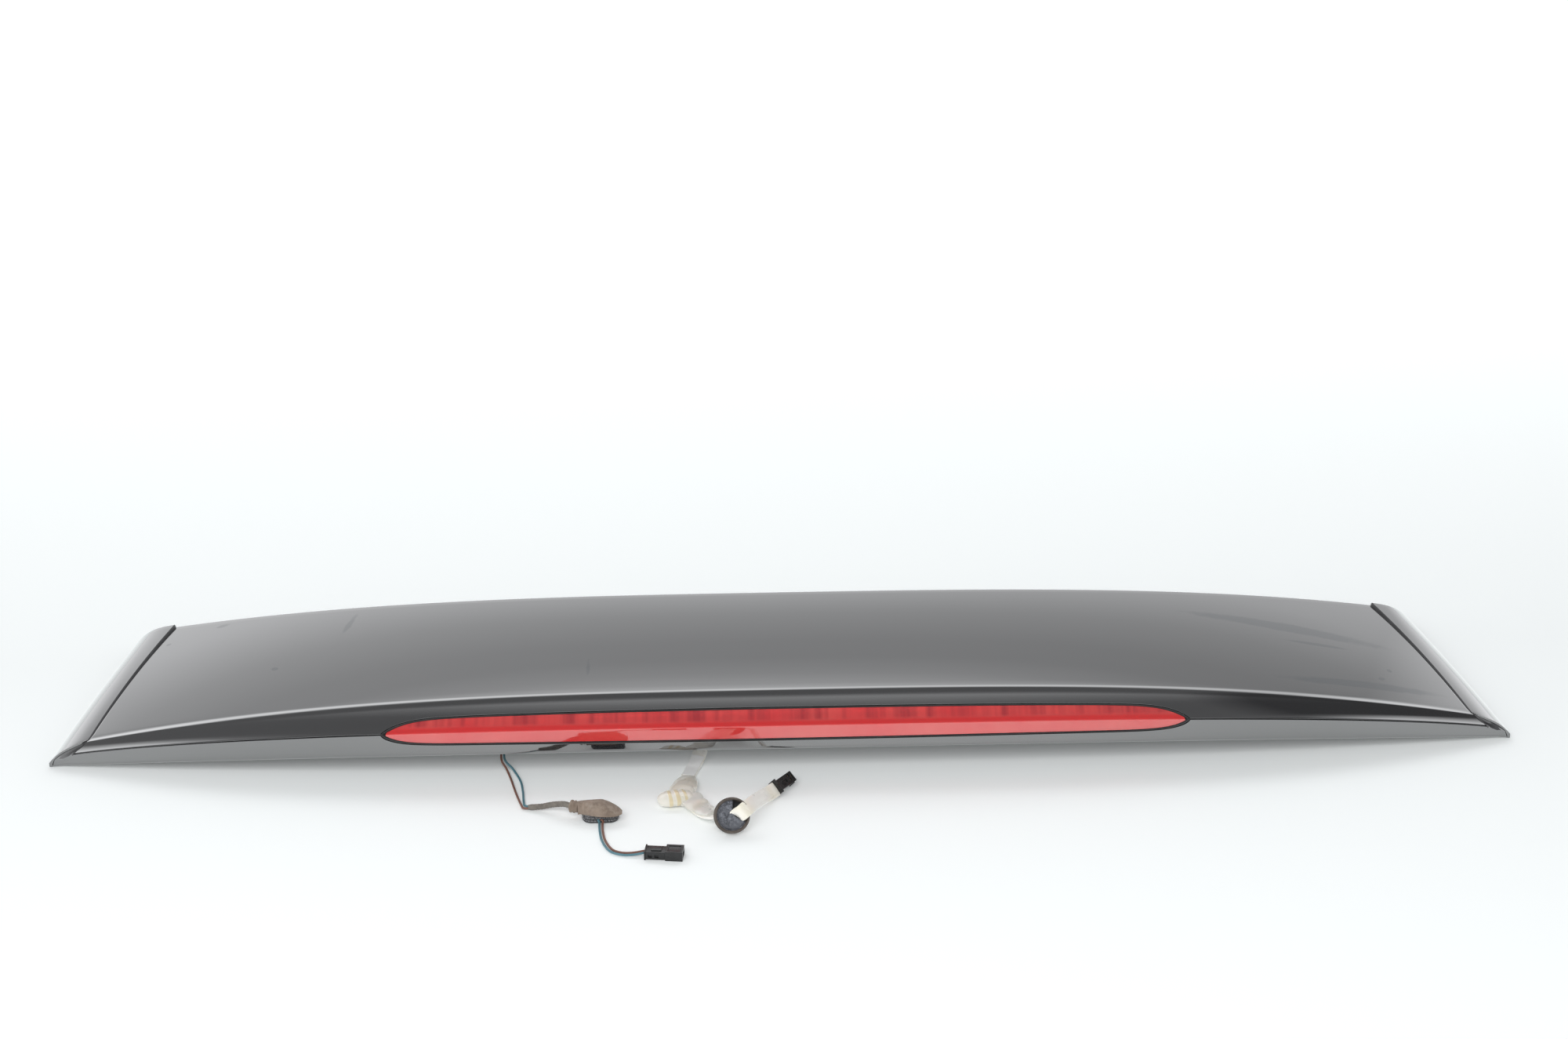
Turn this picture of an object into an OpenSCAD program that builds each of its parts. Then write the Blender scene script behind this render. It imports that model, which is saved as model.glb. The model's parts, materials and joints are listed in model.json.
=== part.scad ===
// Tailgate spoiler of a car: a painted two-part moulding with a slim brake lamp and two leads.
// X runs across the car, Y runs forward, Z runs up. The object stands on its two rear tips
// and on its four mounting studs.

/* [Outline] */
// Half of the width over the two rear tips
half_width = 600; // [580:1:620]
// From the line through the tips forward to the ends of the front edge
tip_to_front = 230; // [220:1:240]
// How far the lower rear edge bows back beyond the tips
rear_bow = 42; // [38:1:46]
// How far the front edge bows back at its middle
front_bow = 44; // [38:1:50]
// Height of the ridge at the middle
ridge_height = 67; // [64:0.5:70]
// Height of the ridge at its ends
ridge_end_height = 21; // [20:0.5:22]
// Height of the front edge at the middle
front_height = 62.5; // [60:0.5:65]
// Height of the front edge at its ends
front_end_height = 19.5; // [18.5:0.5:21]
// Height of the crease at the middle
crease_height = 45.5; // [43:0.5:47]
// Height of the crease at its ends
crease_end_height = 12.5; // [12:0.5:13.5]
// Height of the lower rear edge at the middle
edge_height = 24.5; // [23:0.5:26]
// Bulge of the top skin between its front edge and its ridge
camber = 4; // [2:0.5:6]

/* [Rear face] */
// How far the ridge lies in front of the lower edge at the middle
ridge_setback = 18; // [16:0.5:20]
// How far the ridge ends lie in front of the tips
ridge_end_lead = 7; // [6:0.5:8]
// How far the crease lies in front of the lower edge at the middle
crease_setback = 1; // [0:0.5:4]
// Length of the rounding on the ridge, along the skin
ridge_round = 7; // [5:0.5:8]
// Length of the rounding on the front edge
front_round = 4; // [3:0.5:6]
// Radius of the lower rear edge
edge_round = 3; // [2:0.5:4]
// Width of the parting groove between the two shells
parting_gap = 1.4; // [1:0.1:2]

/* [Flanks] */
// From the tip inwards to the end of the ridge
ridge_inset = 32; // [28:1:36]
// From the tip inwards to the end of the crease
crease_inset = 20; // [18:1:22]
// From the tip inwards to where the lower edge meets the flank
edge_inset = 14; // [13:1:15]
// From the tip inwards to the front end of the step line
step_inset = 58; // [54:1:62]
// From the tip inwards to the outer front corner
corner_inset = 28; // [25:1:31]
// Height of the outer front corner
corner_height = 11; // [10:0.5:12]
// Height of the rear tip's top
tip_height = 4; // [3.5:0.5:4.5]
// Height of the flank's lower rim at the front
rim_height = 5.5; // [5:0.5:6]
// How far the flank stands above the skin at the front of the step line
step_height = 2.5; // [2:0.5:3.5]
// Outward bow of the step line and of the outer edge in plan
side_bow = 2; // [0:0.5:3]
// Height of the flank's own rear lip
flank_lip = 3; // [2.6:0.1:3.6]

/* [Shells] */
// Wall of the upper shell
upper_wall = 2.8; // [2.4:0.1:3.2]
// Wall of the lower shell
lower_wall = 2.5; // [2.2:0.1:2.8]
// Glue gap between the two shells
bond_gap = 0.3; // [0.2:0.05:0.5]
// Drop of the front flange at the middle
flange_drop = 26; // [24:0.5:28]
// Width of the flat lip under the lower rear edge
lip_width = 11; // [9:0.5:12]
// Rise of the underside behind that lip, as a share of the fascia height
recess_share = 0.2; // [0.15:0.01:0.25]

/* [Lamp] */
// Half of the length of the lens
lens_half = 322; // [310:1:330]
// Height of the lens above the crease
lens_upper = 15; // [14:0.5:16]
// Height of the lens below the crease
lens_lower = 10.8; // [10:0.2:11.6]
// Distance over which the pointed end opens out
lens_run = 13; // [11:1:15]
// Share of the lens height that grows towards the middle
lens_belly = 0.16; // [0.1:0.01:0.2]
// Wall of the lens
lens_wall = 2.6; // [2.2:0.1:3]
// Depth of the lens's side wall
lens_skirt = 6; // [5:0.5:7]
// Width of the seal round the lens
seal_width = 1.3; // [1:0.1:1.6]
// Depth of the seal
seal_depth = 4; // [3:0.5:5]
// Clearance between lens, seal and shells
lamp_gap = 0.3; // [0.2:0.05:0.5]
// Wall of the lamp housing
housing_wall = 1.8; // [1.5:0.1:2.1]
// How far the housing's back lies in front of the lens crease
housing_depth = 26; // [24:0.5:28]
// Distance between two reflector cells
cell_pitch = 20.4; // [19:0.2:22]
// Distance from each point of the lens to the first reflector cell
cell_margin = 30; // [26:1:40]
// Thickness of the circuit board
board_thickness = 1.6; // [1.2:0.2:2]
// Height of the circuit board
board_height = 5.5; // [5:0.25:6]

/* [Fixings] */
// Distance between the studs across the car
stud_spacing_x = 640; // [600:5:680]
// Distance between the studs along the car
stud_spacing_y = 90; // [80:1:100]
// Distance from the line of the tips to the rear studs
stud_rear_y = 75; // [70:1:80]
// Diameter of the stud thread
stud_diameter = 6; // [5:0.5:7]
// Diameter of the insert that holds each stud in its boss
insert_diameter = 8; // [7.5:0.5:9]
// How far the studs stand out of their bosses
stud_reach = 15; // [13:0.5:16]
// Diameter of the boss behind each stud
boss_diameter = 28; // [26:1:32]
// Distance of the locating pins from the middle
pin_offset = 130; // [110:5:150]
// Diameter of the locating pins
pin_diameter = 8; // [6:0.5:9]
// Diameter of the lamp screws
screw_diameter = 3; // [2.5:0.1:3.5]
// Thickness of the stiffening ribs on the underside
rib_thickness = 2.2; // [1.8:0.1:2.6]
// Depth of the stiffening ribs
rib_depth = 7; // [5:0.5:8]

/* [Leads] */
// Diameter of each thin wire
wire_diameter = 1.8; // [1.6:0.1:2]
// Width of the flat lead
flat_width = 12; // [11:0.5:13]
// Thickness of the flat lead
flat_thickness = 2.4; // [2:0.1:2.8]
// Diameter of the round rubber disc
disc_diameter = 28; // [26:0.5:30]
// Thickness of the round rubber disc
disc_thickness = 5; // [4:0.5:6]
// Diameter of the wire sleeve
sleeve_diameter = 4.6; // [4.2:0.1:5]

/* [Hidden] */
$fn = 48;

paint = "#26282a";
clear_red = "#c8102e";
black_rubber = "#1d1d1f";
black_plastic = "#141416";

// The origin lies under the middle of the moulding, so the tips lie behind it
tip_y = -(tip_to_front - rear_bow) / 2;
rear_y = tip_y - rear_bow;
front_end_y = tip_y + tip_to_front;
ridge_x = half_width - ridge_inset;
crease_x = half_width - crease_inset;
edge_x = half_width - edge_inset;
step_x = half_width - step_inset;
corner_x = half_width - corner_inset;

// Exponents of the curves across the car: the ends drop faster than a plain arc
ridge_power = 3;
crease_power = 3.8;
edge_power = 3;

function mix(a, b, t) = a + (b - a) * t;
function side(t) = t < 0 ? -1 : 1;
function bend(a, b, c, s) = (1 - s) * (1 - s) * a + 2 * s * (1 - s) * b + s * s * c;

// Stations: |t| is 0 at the middle, 1 at the step line and 2 at the outer edge
function skin_t(t) = min(abs(t), 1);
function flank_t(t) = max(abs(t) - 1, 0);
function across(t, inner, outer) = side(t) * mix(inner * skin_t(t), outer, flank_t(t));
function arch(t, middle, end, power) = mix(middle, end, pow(skin_t(t), power));

// Share of the flank's drop that is used up at w of its width
function roll(w) = 0.42 * w + 0.58 * w * w * w;

// Outer face of the top skin and flanks, v runs from the front edge to the ridge
function skin_end_height(v) =
    mix(front_end_height, ridge_end_height, v) + 2 * camber * v * (1 - v);
function flank_height(v, w) =
    let (top = skin_end_height(v) + step_height * (1 - v))
    top - (top - mix(corner_height, tip_height, v)) * roll(w);
function bow(v) = side_bow * 4 * v * (1 - v);
function skin(t, v) =
    let (s = skin_t(t), w = flank_t(t))
    [
        side(t) * (mix(mix(step_x, ridge_x, v) * s, mix(corner_x, half_width, v), w) + bow(v) * s),
        mix(arch(t, front_end_y - front_bow, front_end_y, ridge_power),
            arch(t, rear_y + ridge_setback, tip_y + ridge_end_lead * (1 - w), ridge_power), v),
        w > 0 ? flank_height(v, w)
            : mix(arch(t, front_height, front_end_height, ridge_power),
                  arch(t, ridge_height, ridge_end_height, ridge_power), v)
              + camber * 4 * v * (1 - v) * (1 - 0.5 * s * s)
    ];
function edge(t) =
    let (x = across(t, edge_x, half_width), s = abs(x) / half_width)
    [x, tip_y - rear_bow * (1 - pow(s, edge_power)), edge_height * (1 - pow(s, edge_power))];
function crease(t) =
    let (w = flank_t(t))
    [
        across(t, crease_x, half_width),
        mix(arch(t, rear_y + crease_setback, tip_y, crease_power), tip_y - 0.5, w),
        mix(arch(t, crease_height, crease_end_height, crease_power), 1.5, w)
    ];

// Hollow band between the ridge and the crease, b runs from 0 to 1
function band(t, b) =
    let (r = skin(t, 1), c = crease(t))
    bend(r, [mix(r.x, c.x, 0.5), mix(r.y, c.y, 0.15), mix(r.z, c.z, 0.7)], c, b);
function band_length(t) = 1.06 * norm(skin(t, 1) - crease(t));
function fascia(t, s) = mix(crease(t), edge(t), s);
function fascia_length(t) = norm(crease(t) - edge(t));

// Half height of the pointed lamp outline at x, grown for the seal and the aperture
function outline(x, height, grow) =
    let (reach = lens_half + 1.6 * grow, d = max(reach - abs(x), 0), r = min(abs(x) / reach, 1))
    height * (1 - exp(-d / lens_run)) * (1 - lens_belly * r * r) + grow * (1 - exp(-d / 2));
aperture_grow = seal_width + 2 * lamp_gap;
function aperture_top(t) = outline(t * crease_x, lens_upper, aperture_grow);
function aperture_bottom(t) = outline(t * crease_x, lens_lower, aperture_grow);

// Offsets a section to its inner side in the Y-Z plane, with mitred corners
function unit2(v) = v / max(norm(v), 1e-6);
function left_normal(a, b) = let (d = unit2([b.y - a.y, b.z - a.z])) [-d.y, d.x];
function inset(points, depth, prior = undef, next = undef) =
    let (last = len(points) - 1)
    [
        for (k = [0:last])
            let (
                a = k > 0 ? points[k - 1] : prior,
                b = k < last ? points[k + 1] : next,
                before = is_undef(a) ? left_normal(points[0], points[1]) : left_normal(a, points[k]),
                after = is_undef(b) ? before : left_normal(points[k], b),
                m = (before + after) / max(1 + before * after, 0.4)
            )
            points[k] + [0, m.x * depth, m.y * depth]
    ];

// Closed sheet between an outer and an inner grid of points, given as rows of stations
module sheet(outer, inner) {
    rows = len(outer);
    columns = len(outer[0]);
    size = rows * columns;
    quads = concat(
        [for (i = [0:rows - 2], k = [0:columns - 2])
            let (a = i * columns + k) [a, a + 1, a + columns + 1, a + columns]],
        [for (i = [0:rows - 2], k = [0:columns - 2])
            let (a = size + i * columns + k) [a, a + columns, a + columns + 1, a + 1]],
        [for (i = [0:rows - 2])
            let (a = i * columns) [a, a + columns, a + columns + size, a + size]],
        [for (i = [0:rows - 2])
            let (a = i * columns + columns - 1) [a, a + size, a + columns + size, a + columns]],
        [for (k = [0:columns - 2]) [k, k + size, k + 1 + size, k + 1]],
        [for (k = [0:columns - 2])
            let (a = (rows - 1) * columns + k) [a, a + 1, a + 1 + size, a + size]]
    );
    polyhedron(
        points = concat([for (row = outer) each row], [for (row = inner) each row]),
        faces = [for (q = quads) each [[q[0], q[2], q[1]], [q[0], q[3], q[2]]]]
    );
}

// Closed solid through a list of rings, with flat fans at both ends
module skin_rings(rings) {
    count = len(rings[0]);
    last = len(rings) - 1;
    polyhedron(
        points = [for (ring = rings) each ring],
        faces = concat(
            [for (i = [0:last - 1], k = [0:count - 1])
                let (a = i * count + k, b = i * count + (k + 1) % count)
                each [[a, b + count, b], [a, a + count, b + count]]],
            [[for (k = [0:count - 1]) k]],
            [[for (k = [0:count - 1]) last * count + count - 1 - k]]
        )
    );
}

// Closed loop of sections, such as a frame
module ring_loop(rings) {
    count = len(rings[0]);
    total = len(rings);
    polyhedron(
        points = [for (ring = rings) each ring],
        faces = [for (i = [0:total - 1], k = [0:count - 1])
            let (
                a = i * count + k, b = i * count + (k + 1) % count,
                c = (i + 1) % total * count + (k + 1) % count, d = (i + 1) % total * count + k
            )
            each [[a, b, c], [a, c, d]]]
    );
}

// Stations that follow the lamp outline, then the open stretch up to the step line
lamp_step = 7.5;
lamp_reach = lens_half + 1.6 * aperture_grow;
lamp_stations = [for (a = [180:-lamp_step:0]) cos(a) * lamp_reach / crease_x];
open_stations = [0.6, 0.66, 0.72, 0.78, 0.84, 0.89, 0.93, 0.965, 0.985];
step_run = 1.4 / step_x;
upper_side = concat(open_stations, [1 - step_run, 1.0001, 1.2, 1.4, 1.6, 1.72, 1.76, 1.88, 2]);
lower_side = concat(open_stations, [1 - 0.6 * step_run, 1.0001 + 0.4 * step_run, 1.14, 1.3, 1.5, 1.69]);
function both_sides(half) =
    concat([for (k = [len(half) - 1:-1:0]) -half[k]], lamp_stations, half);

/* Upper shell */
// End of the flank's rear lip: short along the fascia, full height at the tip
function lip_end(t) =
    let (r = skin(t, 1), d = crease(t) - r)
    flank_t(t) > 0.74 ? edge(t) + [0, 0, 0.2] : r + d / norm(d) * flank_lip;
function flange_bottom(t) =
    flank_t(t) > 0 ? rim_height + 0.8 * flank_t(t) : arch(t, front_height - flange_drop, rim_height, ridge_power);
function rear_face(t, b) = abs(t) >= 1 ? mix(skin(t, 1), lip_end(t), b) : band(t, b);
function rear_face_end(t) =
    abs(t) >= 1 ? 1 : 1 - max(parting_gap / 2, aperture_top(t)) / band_length(t);

function upper_section(t) =
    let (
        front = skin(t, 0),
        depth = front.y - skin(t, 1).y,
        v_front = front_round / depth,
        v_ridge = 1 - ridge_round / depth,
        b_ridge = abs(t) >= 1 ? 0.2 : min(0.7 * ridge_round / band_length(t), 0.3),
        b_end = rear_face_end(t),
        flange_top = front - [0, 0, front_round]
    )
    concat(
        [[front.x, front.y, flange_bottom(t)]],
        [for (s = [0:1 / 3:1]) bend(flange_top, front, skin(t, v_front), s)],
        [for (s = [1:5]) skin(t, mix(v_front, v_ridge, s / 5))],
        [for (s = [1 / 4:1 / 4:3 / 4]) bend(skin(t, v_ridge), skin(t, 1), rear_face(t, b_ridge), s)],
        [for (s = [0:4]) rear_face(t, mix(b_ridge, b_end, s / 4))]
    );

// The flank's side wall goes straight down to its rim
function rim_at(y) = rim_height * min(max((y - tip_y) / tip_to_front, 0), 1);
rim_draft = 0.4;
function to_rim(p) = [p.x - side(p.x) * rim_draft, p.y, mix(rim_at(p.y), p.z, 0.1)];
function pull_in(points, t) =
    let (shift = side(t) * upper_wall * max(flank_t(t) - 0.75, 0) / 0.25)
    [for (p = points) [p.x - shift, p.y, max(p.z, 0.5)]];

// Inside the flank's lip the wall is thicker than the lip is high, so its points are spread evenly
ridge_point = 11;
function lip_inner(points, t) =
    let (last = len(points) - 1)
    [
        for (k = [0:last])
            abs(t) < 1 || k <= ridge_point ? points[k]
            : mix(points[ridge_point], points[last], (k - ridge_point) / (last - ridge_point))
    ];

module upper_shell() {
    stations = both_sides(upper_side);
    outer = [for (t = stations) upper_section(t)];
    inner = [
        for (t = stations)
            let (beyond = abs(t) < 1 ? edge(t) : flank_t(t) < 0.74 ? crease(t) : undef)
            pull_in(lip_inner(inset(upper_section(t), upper_wall, next = beyond), t), t)
    ];
    last = len(stations) - 1;
    color(paint)
    sheet(
        concat([[for (p = outer[0]) to_rim(p)]], outer, [[for (p = outer[last]) to_rim(p)]]),
        concat([[for (p = inner[0]) to_rim(p)]], inner, [[for (p = inner[last]) to_rim(p)]])
    );
}

/* Lower shell */
side_clearance = upper_wall + 1.4;
recess_run = 9;
function recess(t) = recess_share * fascia_length(t);
function under_front_y(t) = skin(t, 0).y - upper_wall - bond_gap;

// Point of the underside, g runs from the lower rear edge to the front lip
function under_x(t, g) =
    let (
        inner = mix(edge_x, step_x, g),
        outer = mix(half_width, corner_x, g) + bow(g) - side_clearance
    )
    side(t) * mix(inner * skin_t(t), outer, min(flank_t(t) / 0.7, 1));
function under_height(t, g) =
    let (e = edge(t), y = g * (under_front_y(t) - e.y))
    mix(e.z, flange_bottom(t) + bond_gap, max(y - lip_width - recess_run, 0)
        / (under_front_y(t) - e.y - lip_width - recess_run))
    + recess(t) * min(max((y - lip_width) / recess_run, 0), 1) * (1 - g);
function under(t, g) =
    [under_x(t, g), mix(edge(t).y, under_front_y(t), g), under_height(t, g)];

function fascia_top(t) =
    abs(t) >= 1
    ? let (p = lip_end(t), d = crease(t) - p) p + d / max(norm(d), 1) * bond_gap
    : fascia(t, max(parting_gap / 2, aperture_bottom(t)) / fascia_length(t));
function fascia_line(t) =
    let (
        top = fascia_top(t),
        start = max(parting_gap / 2, aperture_bottom(t)) / fascia_length(t)
    )
    abs(t) >= 1
    ? [top, mix(top, crease(t), 0.5), crease(t)]
    : [top, fascia(t, start + 0.04), fascia(t, start + 0.08)];

function lower_section(t) =
    let (
        line = fascia_line(t),
        corner = edge(t),
        radius = min(edge_round, 0.3 * fascia_length(t)),
        fascia_end = corner + (line[2] - corner) / norm(line[2] - corner) * radius,
        deep = under_front_y(t) - corner.y,
        under_start = under(t, radius / deep)
    )
    concat(
        line,
        [mix(line[2], fascia_end, 0.5)],
        [for (s = [0:1 / 3:1]) bend(fascia_end, corner, under_start, s)],
        [for (y = [lip_width, lip_width + recess_run / 2, lip_width + recess_run])
            under(t, y / deep)],
        [for (s = [1:4]) under(t, mix((lip_width + recess_run) / deep, 1, s / 4))]
    );

stud_boss_z = stud_reach;
stud_places = [
    for (x = [-1, 1], y = [0, 1])
        [x * stud_spacing_x / 2, tip_y + stud_rear_y + y * stud_spacing_y]
];
module at_studs() {
    for (p = stud_places) translate([p.x, p.y, 0]) children();
}

// Height of the underside's lower face at a place
function under_at(x, y) =
    let (t = x / mix(edge_x, step_x, 0.5), e = edge(t))
    under_height(t, (y - e.y) / (under_front_y(t) - e.y));

pin_y = tip_y + 150;
pin_places = [for (s = [-1, 1]) [s * pin_offset, pin_y]];
pin_boss_drop = 5;
function pin_boss_z(p) = under_at(p.x, p.y) - pin_boss_drop;
rib_places = [for (x = [55, 190, 255, 395, 465]) each [-x, x]];
rib_front = tip_y + 172;
rib_rear = tip_y + 18;
screw_places = [for (x = [75, 215]) each [-x, x]];
screw_y = tip_y - 15;
wire_exit_x = -230;
flat_exit_x = -68;
exit_y = tip_y - 4;
bush_lip = 1.5;
bush_hole = 9;

module rib(x) {
    translate([x + rib_thickness / 2, 0, 0])
    rotate([0, -90, 0])
    linear_extrude(rib_thickness)
    polygon(concat(
        [for (y = [rib_rear, (rib_rear + rib_front) / 2, rib_front]) [under_at(x, y) + 1.2, y]],
        [[under_at(x, rib_front) - rib_depth / 3, rib_front],
         [under_at(x, rib_front) - rib_depth, rib_front - 12],
         [under_at(x, rib_rear) - rib_depth, rib_rear + 12],
         [under_at(x, rib_rear) - rib_depth / 3, rib_rear]]
    ));
}

module lower_shell() {
    stations = both_sides(lower_side);
    sections = [for (t = stations) lower_section(t)];
    inner = [
        for (t = stations)
            inset(lower_section(t), lower_wall,
                  prior = abs(t) < 1 ? band(t, rear_face_end(t)) : skin(t, 1))
    ];
    color(paint)
    difference() {
        union() {
            sheet(sections, inner);
            for (p = stud_places)
                translate([p.x, p.y, stud_boss_z])
                cylinder(d = boss_diameter, h = under_at(p.x, p.y) + lower_wall / 2 - stud_boss_z);
            for (p = pin_places)
                translate([p.x, p.y, pin_boss_z(p)])
                cylinder(d = 2 * pin_diameter, h = pin_boss_drop + lower_wall / 2);
            for (x = rib_places) rib(x);
        }
        at_studs() translate([0, 0, stud_boss_z - 1]) cylinder(d = insert_diameter + 0.4, h = 40);
        for (p = pin_places)
            translate([p.x, p.y, 0]) cylinder(d = pin_diameter + 0.4, h = 60);
        for (x = screw_places) translate([x, screw_y, 0]) cylinder(d = screw_diameter + 0.4, h = 60);
        translate([wire_exit_x, exit_y, 0]) cylinder(d = bush_hole, h = 60);
        translate([flat_exit_x - flat_width / 4, exit_y, 0]) cylinder(d = bush_hole, h = 60);
        translate([flat_exit_x + flat_width / 4, exit_y, 0]) cylinder(d = bush_hole, h = 60);
    }
}

/* Seals, pads and fixings */
front_seal_height = 4;
module front_seal() {
    ends = 0.94;
    rings = [
        for (t = [-ends:ends / 16:ends + 0.001])
            let (p = skin(t, 0), z = flange_bottom(t) - 0.1, w = upper_wall)
            [
                [p.x, p.y, z], [p.x, p.y - w, z], [p.x, p.y - w, z - front_seal_height / 2],
                [p.x, p.y - w / 2, z - front_seal_height],
                [p.x, p.y, z - front_seal_height / 2]
            ]
    ];
    color(black_rubber) skin_rings(rings);
}

pad_thickness = 2.5;
module edge_pads() {
    for (s = [-1, 1])
        let (
            rows = [for (t = [0.9, 0.93, 0.96]) let (u = s > 0 ? t : -1.86 + t)
                [for (g = [0.35, 0.5, 0.65]) under(u, g) - [0, 0, pad_thickness]]],
            tops = [for (t = [0.9, 0.93, 0.96]) let (u = s > 0 ? t : -1.86 + t)
                [for (g = [0.35, 0.5, 0.65]) under(u, g) - [0, 0, 0.12]]]
        )
        color(black_rubber) sheet(rows, tops);
}

collar_height = 4;
collar_flats = 13;
module mounting_studs() {
    color("silver")
    at_studs() {
        cylinder(d = stud_diameter, h = stud_boss_z - 0.5);
        translate([0, 0, stud_boss_z - 0.5]) cylinder(d = insert_diameter, h = 10.5);
        translate([0, 0, stud_boss_z - collar_height])
        cylinder(d = collar_flats / cos(30), h = collar_height, $fn = 6);
    }
}

ring_height = 6;
module stud_rings() {
    color(black_rubber)
    at_studs()
    translate([0, 0, stud_boss_z - ring_height])
    difference() {
        cylinder(d = boss_diameter - 2, h = ring_height);
        translate([0, 0, -1]) cylinder(d = collar_flats / cos(30) + 1, h = ring_height + 2);
    }
}

module locating_pins() {
    color("white")
    for (p = pin_places)
        translate([p.x, p.y, pin_boss_z(p)])
        rotate_extrude()
        polygon([
            [0, -10], [pin_diameter / 4, -10], [pin_diameter / 2, -6], [pin_diameter / 2, -1.5],
            [pin_diameter * 0.8, -1.5], [pin_diameter * 0.8, 0], [pin_diameter / 2, 0],
            [pin_diameter / 2, pin_boss_drop + 4], [0, pin_boss_drop + 4]
        ]);
}

/* Lamp */
// Section of the lamp's outer face at x, from its top edge over the crease to its bottom edge
function lamp_face(x, grow) =
    let (
        t = x / crease_x,
        top = 1 - outline(x, lens_upper, grow) / band_length(t),
        bottom = outline(x, lens_lower, grow) / fascia_length(t)
    )
    concat(
        [for (s = [0:4]) band(t, mix(top, 1, s / 4))],
        [for (s = [1:3]) fascia(t, bottom * s / 3)]
    );
function lamp_size(x) = outline(x, lens_upper, 0) + outline(x, lens_lower, 0);
function lens_section(x) =
    let (face = lamp_face(x, 0), deep = inset(face, min(lens_skirt, 0.4 * lamp_size(x))))
    concat([deep[0]], face, [deep[len(deep) - 1]]);
function lens_wall_at(x) = min(lens_wall, 0.22 * lamp_size(x));
lens_stations = [for (a = [174:-7:5]) cos(a) * lens_half];

module lamp_lens() {
    sections = [for (x = lens_stations) lens_section(x)];
    color(clear_red, 0.8)
    sheet(sections, [for (i = [0:len(sections) - 1])
        inset(sections[i], lens_wall_at(lens_stations[i]))]);
}

// One section of the seal: its outline is followed by an angle, over the top and back below
function seal_corner(angle, grow, depth) =
    let (
        reach = lens_half + 1.6 * grow, x = reach * cos(angle), t = x / crease_x,
        face = lamp_face(x, grow),
        deep = depth > 0 ? inset(face, min(depth, 0.3 * lamp_size(x) + 1)) : face
    )
    sin(angle) >= 0 ? deep[0] : deep[len(deep) - 1];
module lamp_seal() {
    rings = [
        for (angle = [lamp_step / 2:lamp_step:360])
            [
                seal_corner(angle, seal_width + lamp_gap, 0),
                seal_corner(angle, lamp_gap, 0),
                seal_corner(angle, lamp_gap, seal_depth),
                seal_corner(angle, seal_width + lamp_gap, seal_depth)
            ]
    ];
    color(black_rubber) ring_loop(rings);
}

housing_half = lens_half - 16;
screw_bore_top = crease_height - 0.5;
function housing_ring(x, shrink, open) =
    let (
        face = lamp_face(x, 0),
        deep = inset(face, lens_skirt + lamp_gap),
        top = deep[0], bottom = deep[len(deep) - 1],
        back = crease(x / crease_x).y + housing_depth - shrink
    )
    [
        [x, bottom.y - open, bottom.z + shrink], [x, back, bottom.z + shrink],
        [x, back, top.z - shrink], [x, top.y - open, top.z - shrink]
    ];
module lamp_housing() {
    color(black_plastic)
    difference() {
        skin_rings([for (k = [-14:14]) housing_ring(k / 14 * housing_half, 0, 0)]);
        skin_rings([for (k = [-14:14])
            housing_ring(k / 14 * (housing_half - housing_wall), housing_wall, 6)]);
        for (x = screw_places)
            translate([x, screw_y, 0]) cylinder(d = screw_diameter + 0.4, h = screw_bore_top);
    }
}

// The cells stand behind the upper half of the lens and follow its curve
cell_count = floor(2 * (lens_half - cell_margin) / cell_pitch);
cell_depth = 6;
cell_drop = 1.6;
function chamber_top(x) = housing_ring(x, housing_wall, 0)[3].z - 0.7;
function cell_height(x) =
    min(5.8, chamber_top(abs(x) + cell_pitch / 2) - crease(x / crease_x).z + cell_drop);
function cell_place(x) =
    let (c = crease(x / crease_x)) [x, c.y + 10, c.z - cell_drop];
cells = [for (k = [0:cell_count - 1]) (k - (cell_count - 1) / 2) * cell_pitch];
module lamp_reflector() {
    color("silver")
    difference() {
        for (x = cells)
            translate(cell_place(x) - [cell_pitch / 2 + 0.01, 0, 0])
            cube([cell_pitch + 0.02, cell_depth, cell_height(x)]);
        for (x = cells)
            translate(cell_place(x) + [0, -0.1, cell_height(x) / 2])
            rotate([-90, 0, 0])
            cylinder(d1 = cell_pitch * 0.98, d2 = 4.4, h = cell_depth + 0.2);
    }
}

board_offset = 10 + cell_depth + 1.5;
function board_ring(x) =
    let (
        p = cell_place(x), near = p.y - 10 + board_offset, far = near + board_thickness,
        top = p.z + cell_height(x) - 0.6,
        low = max(top - board_height, housing_ring(x, housing_wall, 0)[0].z + 0.5)
    )
    [[x, far, low], [x, far, top], [x, near, top], [x, near, low]];
module lamp_board() {
    half = cell_count * cell_pitch / 2;
    color("darkgreen") skin_rings([for (k = [-8:8]) board_ring(k / 8 * half)]);
}

led_depth = 1.4;
module lamp_leds() {
    color("orangered")
    for (x = cells)
        translate(cell_place(x) + [0, board_offset - 10 - led_depth, cell_height(x) / 2])
        rotate([-90, 0, 0])
        cylinder(d = 3, h = led_depth);
}

plug_size = [14, 10, 5];
module lamp_plug() {
    color(black_plastic)
    translate([wire_exit_x, exit_y, under_at(wire_exit_x, exit_y) + lower_wall + 0.6])
    translate([-plug_size.x / 2, -plug_size.y / 2, 0])
    cube(plug_size);
}

screw_length = 12;
module lamp_screws() {
    color("silver")
    for (x = screw_places)
        translate([x, screw_y, under_at(x, screw_y) - 0.2]) {
            cylinder(d = screw_diameter, h = screw_length);
            translate([0, 0, -2]) cylinder(d = 2 * screw_diameter, h = 2);
        }
}

module_size = [64, 30, 12];
module_place = [flat_exit_x - module_size.x / 2, tip_y + 2];
module_screw_diameter = 3;
module_screw_inset = 5;
module_screw_y = module_size.y - 6;
module_screw_tip = 1;
module_clear = 0.1;
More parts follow.
